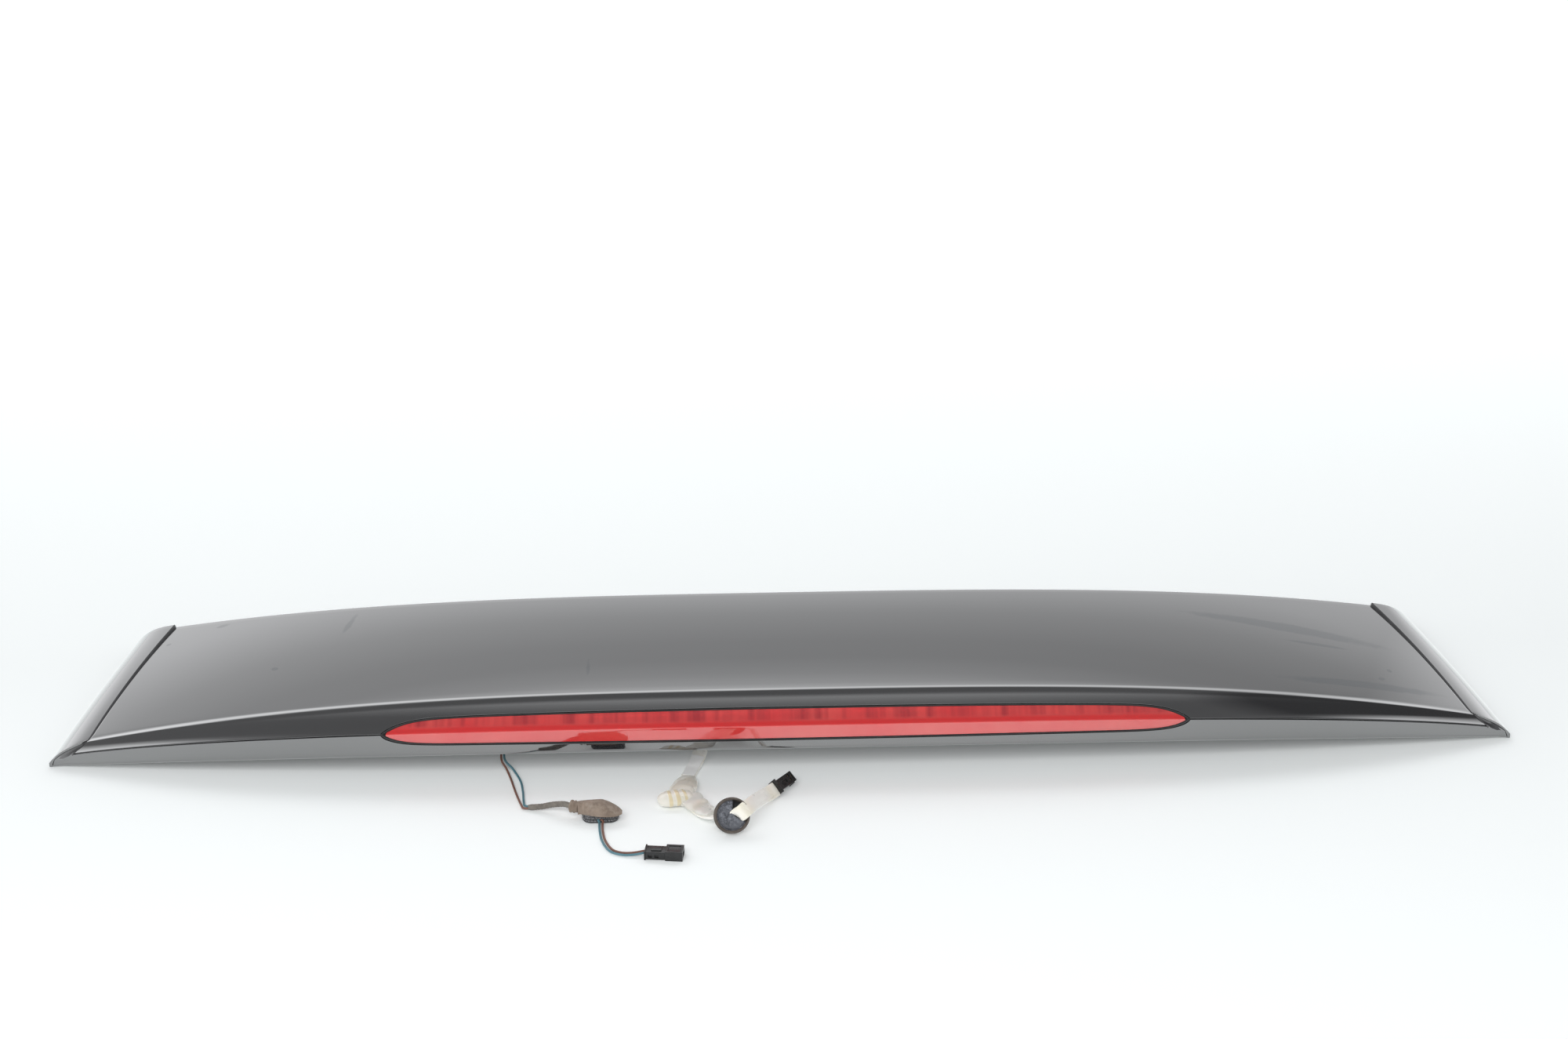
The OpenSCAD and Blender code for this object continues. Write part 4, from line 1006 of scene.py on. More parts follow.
    def fascia_start(self, t: Array) -> Array:
        """Share of the fascia where the lower shell begins."""
        low = self.outline(t * self.crease_x, self.lens_down, self.aperture_grow)
        low = np.where(np.abs(t) * self.crease_x > self.lens_half + 1.6 * self.aperture_grow, 0, low)
        return np.maximum(self.parting_gap / 2, low) / self.fascia_length(t)

    def under_front_y(self, t: Array) -> Array:
        """Y where the underside ends behind the front flange."""
        return self.skin(t, np.zeros_like(t))[..., 1] - self.upper_wall - self.bond_gap

    def under(self, t: Array, g: Array) -> Array:
        """Underside, g from the lower rear edge to the front: a lip, a recess and a slope."""
        t, g = np.broadcast_arrays(np.asarray(t, float), np.asarray(g, float))
        side, s, w = self.parts(t)
        bow = self.side_bow * 4 * g * (1 - g)
        outer = mix(self.half_width, self.corner_x, g) + bow - self.upper_wall - 1.4
        x = side * mix(mix(self.edge_x, self.step_x, g) * s, outer, np.minimum(w / 0.7, 1))
        e, far = self.edge(t), self.under_front_y(t)
        deep = far - e[..., 1]
        past = g * deep - self.lip_width
        slope = np.maximum(past - self.recess_run, 0) / (deep - self.lip_width - self.recess_run)
        z = (mix(e[..., 2], self.flange_bottom(t) + self.bond_gap, slope)
             + self.recess_share * self.fascia_length(t) * ease(past / self.recess_run) * (1 - g))
        return self.stack(x, mix(e[..., 1], far, g), z)

    def under_at(self, x: Any, y: Any) -> Array:
        """Height of the underside at a place in plan."""
        t = np.asarray(x, float) / mix(self.edge_x, self.step_x, 0.5)
        e = self.edge(t)
        deep = self.under_front_y(t) - e[..., 1]
        return self.under(t, (np.asarray(y, float) - e[..., 1]) / deep)[..., 2]

    def stations(self, flank: Array, dense: int = 170) -> Array:
        """Stations from one side to the other, dense at the lamp's points and at the step line."""
        reach = (self.lens_half + 1.6 * self.aperture_grow) / self.crease_x
        lamp = -np.cos(np.linspace(0, math.pi, dense)) * reach
        opened = reach + (1 - 2 * self.step_run - reach) * ease(np.linspace(0, 1, 34)[1:]) ** 0.9
        riser = 1 - self.step_run * np.array([1.5, 1.2, 1.0, 0.85, 0.7, 0.5, 0.25, 0.0])
        half = np.concatenate([opened, riser, flank])
        return np.concatenate([-half[::-1], lamp, half])


@dataclass
class Moulding:
    """The painted body: upper shell with flanks, lower shell with fascia and underside."""

    form: Form
    finishes: Finishes
    stud_x: float = 320.0
    stud_y: tuple[float, float] = (-19.0, 71.0)
    boss_radius: float = 14.0
    boss_foot: float = 15.0
    pin_x: float = 130.0
    pin_y: float = 56.0
    rib_x: tuple[float, ...] = (55.0, 190.0, 255.0, 395.0, 465.0)
    rib_span: tuple[float, float] = (-76.0, 78.0)
    edge_round: float = 3.0

    def build(self) -> None:
        """Makes both shells and what is sealed between them and the car."""
        self.upper_shell()
        self.lower_shell()
        self.front_seal()

    @staticmethod
    def rounded_end(section: Array, depth: float, radius: float) -> Array:
        """Sections whose last point is rounded inwards by a radius."""
        run = unit(section[:, -1] - section[:, -2])
        inward = np.stack([np.zeros(len(run)), -run[:, 2], run[:, 1]], axis=1)
        last = section[:, -1]
        tail = bend(last - run * radius, last, last + inward * radius, np.linspace(0, 1, 5))
        return np.concatenate([section[:, :-1], tail], axis=1)

    def upper_shell(self) -> None:
        """Top skin from its front flange over the ridge to the parting groove, with its wall."""
        f = self.form
        flank = np.concatenate([np.linspace(1.004, 1.82, 20), np.linspace(1.83, 1.88, 6),
                                np.linspace(1.90, 2.0, 6)])
        t = f.stations(flank)
        one = t[:, None]
        front, ridge = f.skin(t, np.zeros_like(t)), f.skin(t, np.ones_like(t))
        depth = (front[:, 1] - ridge[:, 1])[:, None]
        k = ease((np.abs(one) - 1 + f.step_run) / f.step_run)
        start, end = 4.0 / depth, 1 - 7.0 / depth
        turn = mix(np.minimum(4.9 / f.band_length(t)[:, None], 0.3), 0.2, k)
        stop = f.rear_face_end(t)[:, None]
        foot = front.copy()
        foot[:, 2] = f.flange_bottom(t)
        top = front - np.array([0, 0, 4.0])
        section = np.concatenate([
            lay(foot, top, np.linspace(0, 1, 5)[:-1]),
            bend(top, front, f.skin(one, start)[:, 0], np.linspace(0, 1, 8)),
            f.skin(one, mix(start, end, np.linspace(0, 1, 30)[None, 1:-1])),
            bend(f.skin(one, end)[:, 0], ridge, f.rear_face(one, turn)[:, 0], np.linspace(0, 1, 12)),
            f.rear_face(one, mix(turn, stop, np.linspace(0, 1, 18)[None, 1:]))], axis=1)
        beyond = mix(f.edge(t), f.crease(t), ease((np.abs(t) - 1 + f.step_run) / f.step_run)[:, None])
        inner = inset(section, f.upper_wall, following=beyond)
        past = 11 + 29 + 6
        share = np.clip((np.arange(section.shape[1]) - past) / (section.shape[1] - 1 - past), 0, 1)
        spread = mix(inner[:, past:past + 1], inner[:, -1:], share[None, :, None])
        side, _, w = (q[:, None] for q in f.parts(t))
        use = (np.arange(section.shape[1]) > past)[None, :, None] * (w[..., None] > 0)
        inner = np.where(use, spread, inner)
        inner[..., 0] -= side * f.upper_wall * np.maximum(w - 0.75, 0) / 0.25
        inner[..., 2] = np.maximum(inner[..., 2], 0.5)
        outer = self.rounded_end(section, f.upper_wall, 0.45)
        tail = lay(inner[:, -2], inner[:, -1], np.linspace(0.2, 1, 5))
        inner = np.concatenate([inner[:, :-1], tail], axis=1)
        grids = []
        for grid in (outer, inner):
            ends = []
            for row in (0, -1):
                rim = grid[row].copy()
                low = f.rim_height * np.clip((rim[:, 1] - f.tip_y) / f.tip_to_front, 0, 1)
                rim[:, 0] -= np.sign(rim[:, 0]) * 0.4
                rim[:, 2] = mix(low, rim[:, 2], 0.1)
                ends.append(rim[None])
            grids.append(np.concatenate([ends[0], grid, ends[1]]))
        shell = Patch.of_sheets(*grids)
        # Riser faces of the step line get finish number 1, the dark matt finish: painted shade along the step
        # line.
        middle = np.abs(np.concatenate([[t[0]], (t[:-1] + t[1:]) / 2, [t[-1]]]))
        riser = (middle > 1 - 1.3 * f.step_run) & (middle < 1 - 0.12 * f.step_run)
        sides = 2 * outer.shape[1]
        across = np.arange(sides)
        seam = (riser[:, None] & ((across > 9) & (across < 48))[None]).astype(int).ravel().tolist()
        shell.band[:len(seam)] = seam
        make("upper_shell_skin", shell, "body_paint", self.finishes.lacquer, self.finishes.seam,
             replaces=["upper_shell"], sharp=50)

    def lower_shell(self) -> None:
        """Fascia, rounded lower edge and closed underside, with bosses and ribs below."""
        f = self.form
        flank = np.concatenate([np.linspace(1.006, 1.74, 16), np.linspace(1.76, 1.81, 4)])
        t = f.stations(flank)
        one = t[:, None]
        k = ease((np.abs(t) - 1 + f.step_run) / f.step_run)[:, None]
        start = f.fascia_start(t)
        lip = f.lip_end(t)
        lip = lip + unit(f.crease(t) - lip) * f.bond_gap
        top = mix(f.fascia(t, start), lip, k)
        knee = mix(f.fascia(t, start + 0.08), f.crease(t), k)
        corner = f.edge(t)
        radius = np.minimum(self.edge_round, 0.3 * f.fascia_length(t))[:, None]
        last = corner + unit(knee - corner) * radius
        deep = (f.under_front_y(t) - corner[:, 1])[:, None]
        under_start = f.under(one, radius / deep)[:, 0]
        reach = f.lip_width + f.recess_run
        g = np.concatenate([np.tile([0.7, 1.0], (len(t), 1)) * f.lip_width / deep,
                            (f.lip_width + f.recess_run * np.linspace(0, 1, 7)[None, 1:]) / deep,
                            mix(reach / deep, 1.0, np.linspace(0, 1, 10)[None, 1:])], axis=1)
        section = np.concatenate([
            lay(top, knee, np.linspace(0, 1, 4)[:-1]),
            lay(knee, last, np.linspace(0, 1, 8)[:-1]),
            bend(last, corner, under_start, np.linspace(0, 1, 9)),
            f.under(one, g)], axis=1)
        prior = mix(f.band(t, f.rear_face_end(t)), f.skin(t, np.ones_like(t)), k)
        inner = inset(section, f.lower_wall, prior=prior)
        turned = self.rounded_end(section[:, ::-1], f.lower_wall, -0.45)
        run = unit(section[:, 0] - section[:, 1])
        inward = np.stack([np.zeros(len(run)), run[:, 2], -run[:, 1]], axis=1)
        head = bend(section[:, 0] - run * 0.45, section[:, 0], section[:, 0] + inward * 0.45,
                    np.linspace(0, 1, 5))[:, ::-1]
        outer = np.concatenate([head, section[:, 1:]], axis=1)
        lead = lay(inner[:, 0], inner[:, 1], np.linspace(0, 0.8, 5))
        inner = np.concatenate([lead, inner[:, 1:]], axis=1)
        columns = outer.shape[1]
        painted = 4 + 3 + 7 + 9 + 3
        bands = [0 if c < painted else 1 for c in range(columns)]
        shell = Patch.of_sheets(outer, inner, bands)
        make("lower_shell_skin", Patch.join([shell, *self.bosses(), *self.ribs()]), "body_paint",
             self.finishes.lacquer, self.finishes.moulding, replaces=["lower_shell"], sharp=50)
        del turned

    def bosses(self) -> list[Patch]:
        """Round bosses with a swept foot that carry the studs and the locating pins."""
        made = []
        for x in (-self.stud_x, self.stud_x):
            for y in self.stud_y:
                high = float(self.form.under_at(x, y)) + 1.0
                made.append(self.boss(x, y, self.boss_foot, high, self.boss_radius, 4.3))
        for x in (-self.pin_x, self.pin_x):
            high = float(self.form.under_at(x, self.pin_y)) + 1.0
            made.append(self.boss(x, self.pin_y, high - 6.0, high, 8.0, 4.3))
        return made

    @staticmethod
    def boss(x: float, y: float, low: float, high: float, radius: float, bore: float) -> Patch:
        """A boss with its bore: the foot is rounded, the root flares into the underside."""
        flare = np.linspace(0, 1, 6)
        outside = [(radius - 0.8, low), (radius - 0.25, low + 0.25), (radius, low + 0.9)]
        outside += [(radius + 3.0 * s ** 3, mix(low + 0.9, high, 0.35 + 0.65 * s)) for s in flare]
        profile = [(bore, high - 0.5), (bore, low + 0.4), (bore + 0.4, low)] + outside
        ring = ring_round(48)
        p = np.asarray(profile)
        flat = p[:, :1, None] * ring[None]
        rings = np.concatenate([flat, np.broadcast_to(p[:, 1:, None], flat.shape[:2] + (1,))], -1)
        return Patch.of_rings(rings + np.array([x, y, 0]), loop=True).painted(1)

    def ribs(self) -> list[Patch]:
        """Stiffening ribs that follow the underside, drafted and run out at both ends."""
        made = []
        rear, front = self.rib_span
        y = np.linspace(rear, front, 30)
        fade = ease(np.minimum(y - rear, front - y) / 13.0)
        for x in [s * q for q in self.rib_x for s in (-1, 1)]:
            root = self.form.under_at(np.full_like(y, x), y)
            depth = mix(2.3, 7.0, fade)
            half = np.array([1.25, 1.15, 1.0, 0.7, -0.7, -1.0, -1.15, -1.25])
            drop = np.array([-1.2, 0.5, 0.93, 1.0, 1.0, 0.93, 0.5, -1.2])
            z = root[:, None] - np.where(drop < 0, drop, drop * depth[:, None])
            rings = np.stack(np.broadcast_arrays(x + half[None], y[:, None], z), axis=-1)
            made.append(Patch.of_rings(rings).painted(1))
        return made

    def front_seal(self) -> None:
        """Lip seal under the front flange: a rounded bulb on a flat foot."""
        f = self.form
        t = np.linspace(-0.94, 0.94, 120)
        p = f.skin(t, np.zeros_like(t))
        z = f.flange_bottom(t) - 0.1
        angle = np.linspace(0, math.pi, 9)
        side = np.concatenate([[0.0], 1.4 - 1.4 * np.cos(angle), [2.8]])
        down = np.concatenate([[0.0], 2.0 + 2.0 * np.sin(angle), [0.0]])
        rings = np.stack(np.broadcast_arrays(
            p[:, :1], p[:, 1:2] - side[None], z[:, None] - down[None]), axis=-1)
        make("front_lip_seal", Patch.of_rings(rings), "black_rubber", self.finishes.rubber,
             replaces=["front_seal"])


@dataclass
class BrakeLamp:
    """The high brake lamp: lens with flutes inside, seal, row of bright cells."""

    form: Form
    finishes: Finishes
    wall: float = 2.6
    skirt: float = 6.0
    seal_width: float = 1.3
    seal_depth: float = 4.0
    gap: float = 0.3
    pitch: float = 20.4
    cells: int = 28
    cell_depth: float = 6.0
    flute_pitch: float = 5.1
    flute_depth: float = 0.4

    def build(self) -> None:
        """Makes the lens, the seal and the cells; the rest of the lamp stays as it is."""
        self.lens()
        self.seal()
        self.reflector()

    def face(self, x: Array, grow: float, up: int, down: int, crease: float = 0.0) -> Array:
        """Lamp's outer face from its top edge over the crease to its bottom edge.

        Args:
            x: Stations in millimetres.
            grow: How far outside the lens.
            up, down: Places above and below the crease.
            crease: Length on each side that is rounded off.

        Returns:
            Points of shape (stations, places, 3).
        """
        f = self.form
        t = x / f.crease_x
        one = t[:, None]
        high, low = f.outline(x, f.lens_up, grow), f.outline(x, f.lens_down, grow)
        top, bottom = (1 - high / f.band_length(t))[:, None], (low / f.fascia_length(t))[:, None]
        cut = (np.minimum(crease, 0.3 * high) / f.band_length(t))[:, None]
        dip = (np.minimum(crease, 0.3 * low) / f.fascia_length(t))[:, None]
        rows = [f.band(one, mix(top, 1 - cut, np.linspace(0, 1, up)[None]))]
        if crease:
            rows.append(bend(rows[0][:, -1], f.crease(t), f.fascia(one, dip)[:, 0],
                             np.linspace(0, 1, 6))[:, 1:])
        rows.append(f.fascia(one, mix(dip, bottom, np.linspace(0, 1, down)[None, 1:])))
        return np.concatenate(rows, axis=1)

    def lens(self) -> None:
        """Lens: outer face with its crease, side walls, and upright flutes on its inner side."""
        f = self.form
        angle = np.linspace(math.radians(6), math.radians(174), 420)
        ends = np.cos(angle) * f.lens_half
        middle = np.linspace(-290, 290, 900)
        x = np.unique(np.concatenate([ends[np.abs(ends) > 290], middle]))
        face = self.face(x, 0.0, 9, 7, crease=0.9)
        size = f.outline(x, f.lens_up, 0) + f.outline(x, f.lens_down, 0)
        deep = inset(face, np.minimum(self.skirt, 0.4 * size))
        section = np.concatenate([deep[:, :1], face, deep[:, -1:]], axis=1)
        thick = np.minimum(self.wall, 0.22 * size)
        inner = inset(section, thick)
        fade = ease((f.lens_half - 14 - np.abs(x)) / 30)
        wave = np.abs(np.sin(x / self.flute_pitch * math.pi)) * self.flute_depth * fade
        normal = unit(inner - section)
        upper = np.zeros(section.shape[1])
        upper[3:9] = 1.0
        inner = inner + normal * wave[:, None, None] * upper[None, :, None]
        make("lens_with_flutes", Patch.of_sheets(section, inner), "red_lens", self.finishes.lens,
             replaces=["lamp_lens"], sharp=60)

    def seal(self) -> None:
        """Seal round the lens: flat foot, rounded and slightly proud rim."""
        f = self.form
        angle = np.radians(np.arange(0.6, 360, 1.2))
        made = []
        for grow, depth in [(self.gap, self.seal_depth), (self.gap, 1.0), (self.gap, 0.35),
                            (self.gap + 0.2, 0.02), (self.gap + 0.65, -0.25),
                            (self.gap + 1.1, 0.02), (self.gap + 1.3, 0.35), (self.gap + 1.3, 1.0),
                            (self.gap + 1.3, self.seal_depth)]:
            x = np.cos(angle) * (f.lens_half + 1.6 * grow)
            face = self.face(x, grow, 5, 4)
            size = f.outline(x, f.lens_up, 0) + f.outline(x, f.lens_down, 0)
            moved = inset(face, np.minimum(depth, 0.3 * size + 1))
            upper = (np.sin(angle) >= 0)[:, None]
            made.append(np.where(upper, moved[:, 0], moved[:, -1]))
        rings = np.stack(made, axis=1)
        make("lamp_rim_seal", Patch.of_rings(rings, loop=True), "black_rubber", self.finishes.rubber,
             replaces=["lamp_seal"])

    def reflector(self) -> None:
        """Row of bright cells: each a hollow whose depth falls with the square of the distance."""
        f = self.form
        half = self.cells * self.pitch / 2
        box = [list(c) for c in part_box("lamp_reflector")]
        x = np.linspace(-half, half, self.cells * 16 + 1)
        v = np.linspace(0, 1, 15)
        local = (x / self.pitch + self.cells / 2) % 1.0 * 2 - 1
        local[-1] = 1.0
        crease = f.crease(x / f.crease_x)
        low = crease[:, 2] - 1.6
        height = np.minimum(5.8, (box[1][2] / MM - 42.0) - 0.9 * (np.abs(x) / half) ** 2)
        r = np.abs(local)[:, None] ** 2.2 + 0.5 * np.abs(v * 2 - 1)[None] ** 2.5
        deep = self.cell_depth * 0.8 * np.clip(1 - r, 0, 1) ** 0.7
        y = crease[:, 1:2] + 10 + deep
        z = low[:, None] + height[:, None] * v[None]
        outer = np.stack(np.broadcast_arrays(x[:, None], y, z), axis=-1)
        inner = outer.copy()
        inner[..., 1] = crease[:, 1:2] + 10 + self.cell_depth
        make("bright_cells", Patch.of_sheets(outer, inner), "mirror_plastic", self.finishes.mirror,
             replaces=["lamp_reflector"])


@dataclass
class Fixings:
    """Studs, foam rings, pins and pads on the hidden side."""

    finishes: Finishes
    stud_x: float = 320.0
    stud_y: tuple[float, float] = (-19.0, 71.0)
    boss_foot: float = 15.0
    thread_pitch: float = 1.0

    def build(self) -> None:
        """Makes the threaded studs and softens the other fixings."""
        self.studs()
        softened("foam_rings", "stud_rings", 0.9, self.finishes.foam, 3)
        softened("push_pins", "locating_pins", 0.35, self.finishes.white)
        softened("foam_pads", "edge_pads", 0.6, self.finishes.foam)

    def studs(self) -> None:
        """Threaded studs: the radius swings with the angle plus the height over the pitch."""
        made = []
        sides, low, high = 24, 0.0, self.boss_foot - 4.0
        z = np.arange(low, high + 0.01, self.thread_pitch / 8)
        turn = np.arange(sides) / sides
        phase = (z[:, None] / self.thread_pitch - turn[None]) % 1.0
        lead_in = np.clip(z / 1.2, 0, 1)[:, None]
        radius = (3.0 - 0.55 * np.abs(phase * 2 - 1)) * mix(0.82, 1.0, lead_in)
        circle = ring_round(sides)
        rings = np.concatenate([radius[..., None] * circle[None],
                                np.broadcast_to(z[:, None, None], radius.shape + (1,))], axis=-1)
        hexagon = ring_round(6, math.pi / 6)
        flat = 13.0 / 2 / math.cos(math.pi / 6)
        rows = np.array([[flat - 0.5, -4.0], [flat, -3.5], [flat, -0.4], [flat - 0.4, 0.0]])
        collar = np.concatenate([rows[:, :1, None] * hexagon[None],
                                 np.broadcast_to(rows[:, 1:, None], (4, 6, 1))], axis=-1)
        for x in (-self.stud_x, self.stud_x):
            for y in self.stud_y:
                at = np.array([x, y, 0.0])
                made.append(Patch.of_rings(rings + at))
                made.append(Patch.of_rings(collar + at + [0, 0, self.boss_foot]))
                made.append(lathe([(0, -0.5), (4.0, -0.5), (4.0, 9.6), (3.6, 10.0), (0, 10.0)],
                                  at + [0, 0, self.boss_foot], 32))
        make("threaded_studs", Patch.join(made), "steel", self.finishes.steel,
             replaces=["mounting_studs"], sharp=30)


@dataclass
class LampLead:
    """The lamp's lead: two wires, sleeve, hood with its plug, tail wires and connector."""

    finishes: Finishes
    form: Form
    wire: float = 1.8
    sleeve: float = 4.6
    exit_x: float = -230.0
    exit_y: float = -98.0
    sleeve_route: list[list[float]] = field(default_factory=lambda: [
        [-205, -183, 2.7], [-195, -184.7, 4], [-186, -187.3, 7], [-177, -191.5, 9.6],
        [-171.7, -194.3, 9.6]])
    tail_blue: list[list[float]] = field(default_factory=lambda: [
        [-149.2, -207.05, 2.9], [-148.6, -211, 1.8], [-147.9, -221, 1.2], [-145.4, -236.6, 1.2],
        [-139.2, -251.3, 1.2], [-130, -257.4, 1.3], [-121, -258.9, 2], [-112.3, -258.6, 3.4]])
    tail_brown: list[list[float]] = field(default_factory=lambda: [
        [-146.4, -207.05, 2.9], [-146.2, -211, 1.8], [-145.5, -221, 1.2], [-143, -235.6, 1.2],
        [-137.4, -249, 1.2], [-129.6, -254.4, 1.3], [-121, -255.8, 2], [-112.5, -255.8, 3.4]])

    def build(self) -> None:
        """Makes every piece of the lead."""
        foot = float(self.form.under_at(self.exit_x, self.exit_y)) - 1.7
        blue = [[-228.6, -98, foot + 0.05], [-228.5, -100, foot - 9], [-229, -110, 7.5],
                [-221.5, -120, 3], [-214.5, -137, 1.4], [-211.5, -154, 1.2], [-209.5, -172, 1.4],
                [-207, -180.5, 2.4], [-204.95, -182, 3.5]]
        brown = [[-231.4, -98, foot + 0.05], [-231.5, -100, foot - 9], [-231.5, -111, 7.5],
                 [-227, -119, 3], [-222.5, -133, 1.2], [-217, -156, 1.2], [-211.5, -176, 1.4],
                 [-208, -183, 1.8], [-204.95, -184, 2]]
        sleeve = self.make_sleeve()
        hood = self.make_hood()
        plug = self.make_plug()
        body, cap = self.make_connector()
        for name, first, side, tail, finish in [
                ("blue", blue, 0.95, self.tail_blue, self.finishes.blue),
                ("brown", brown, -0.95, self.tail_brown, self.finishes.brown)]:
            hidden = [[x, y + side, z] for x, y, z in self.sleeve_route[1:]]
            hidden += [[-163, -197 + side, 9.8], [-155, -200 + side, 8.6]]
            self.thread(name, first[:-1] + hidden + tail, finish)

    def thread(self, tone: str, route: list[list[float]], finish: bpy.types.Material) -> None:
        """One insulated wire, swept along its route."""
        path = weave(route, 10)
        rings = sweep(path, ring_round(14) * self.wire / 2, carried(path, [1, 0.2, 0.1]))
        cord = make(f"wire_{tone}_strand", Patch.of_rings(rings, turn=0.0057), f"{tone}_insulation",
                    finish, replaces=[f"wire_{tone}", f"tail_wire_{tone}"])

    def make_sleeve(self) -> bpy.types.Object:
        """Soft sleeve: its radius wrinkles along its length and narrows at its start."""
        path = weave(self.sleeve_route, 14)
        s = length_along(path) / length_along(path)[-1]
        radius = self.sleeve / 2 * (1 + 0.035 * np.sin(s * 90) * ease(s * 4) * ease((1 - s) * 3)
                                    - 0.10 * (1 - ease(s * 14)))
        rings = sweep(path, ring_round(24)[None] * radius[:, None, None], [0, 0, 1])
        return make("sleeve_tube", Patch.of_rings(rings, turn=0.0145), "sleeve_rubber",
                    self.finishes.sleeve, replaces=["wire_sleeve"])

    def make_hood(self) -> bpy.types.Object:
        """Hood: half rings whose height and width follow a given table, and a ringed collar."""
        table = weave([
            [-165.6, -196.2, 5.2, 14.2, 4.6], [-162.6, -196.4, 6.2, 14.4, 6.0],
            [-158.6, -197.2, 6.9, 14.7, 7.9], [-154.4, -198.0, 7.05, 15.1, 9.0],
            [-150, -198.7, 7.05, 15.6, 9.6], [-146.5, -199.1, 7.05, 15.7, 9.8],
            [-142, -199.8, 7.05, 14.1, 9.5], [-138, -200.6, 7.05, 12.0, 8.4],
            [-134.5, -201.6, 7.05, 10.0, 6.3], [-131, -203, 7.05, 8.3, 2.0]], 6)
        x, y, base, top, half = (table[:, k][:, None] for k in range(5))
        angle = np.linspace(0, math.pi, 33)[None]
        arc = np.stack(np.broadcast_arrays(
            x, y + half * np.cos(angle), base + 1.5 + (top - base - 1.5) * np.sin(angle) ** 1.1), -1)
        skirt = np.stack(np.broadcast_arrays(
            x, y + np.array([[-1.03, -1.02, 1.02, 1.03]]) * half,
            base + np.array([[1.0, 0.0, 0.0, 1.0]])), -1)
        rings = np.concatenate([arc, skirt], axis=1)
        collar = lathe([(0, 0), (4.3, 0), (5.0, 0.4), (5.0, 1.5), (4.45, 2.0), (4.45, 2.7), (4.95, 3.2),
                        (4.95, 4.1), (4.4, 4.6), (4.3, 6.4), (3.9, 6.9), (0, 6.9)],
                       [-171.3, -194.4, 9.4], 40,
                       Matrix.Rotation(math.radians(-20), 4, "Z") @ Matrix.Rotation(math.radians(90), 4, "Y"))
        return make("hood_with_collar", Patch.join([Patch.of_rings(rings), collar]), "hood_rubber",
                    self.finishes.hood, replaces=["dome_grommet"], sharp=55)

    def stadium(self, z: float, length: float, width: float) -> Array:
        """Closed ring of straight sides and round ends at one height."""
        circle = ring_round(48, math.pi / 48)
        shift = np.sign(circle[:, :1]) * (length - width) / 2
        flat = circle * width / 2 + np.concatenate([shift, np.zeros_like(shift)], axis=1)
        return np.concatenate([flat + [-148, -199.5], np.full((48, 1), z)], axis=1)

    def make_plug(self) -> bpy.types.Object:
        """Ribbed oval plug: its outline steps out at each sealing rib."""
        rows = [(0.0, 26.4, 12.9), (0.4, 27.5, 14.0), (1.1, 27.5, 14.0), (1.35, 28.8, 15.0),
                (1.8, 29.0, 15.2), (2.25, 28.8, 15.0), (2.5, 27.5, 14.0), (3.6, 27.5, 14.0),
                (3.9, 28.8, 15.0), (4.35, 29.0, 15.2), (4.8, 28.8, 15.0), (5.1, 27.4, 13.9),
                (6.6, 27.3, 13.8), (7.0, 26.6, 13.1)]
        rings = np.stack([self.stadium(*row) for row in rows])
        return make("ribbed_plug", Patch.of_rings(rings), "black_rubber", self.finishes.plug_rubber,
                    replaces=["grommet_plug"], sharp=50)

    def make_connector(self) -> tuple[bpy.types.Object, bpy.types.Object]:
        """Connector body and cap, with moulded edges."""
        return (softened("connector_body", "wire_connector", 0.3, self.finishes.black),
                softened("connector_end", "connector_cap", 0.35, self.finishes.black))


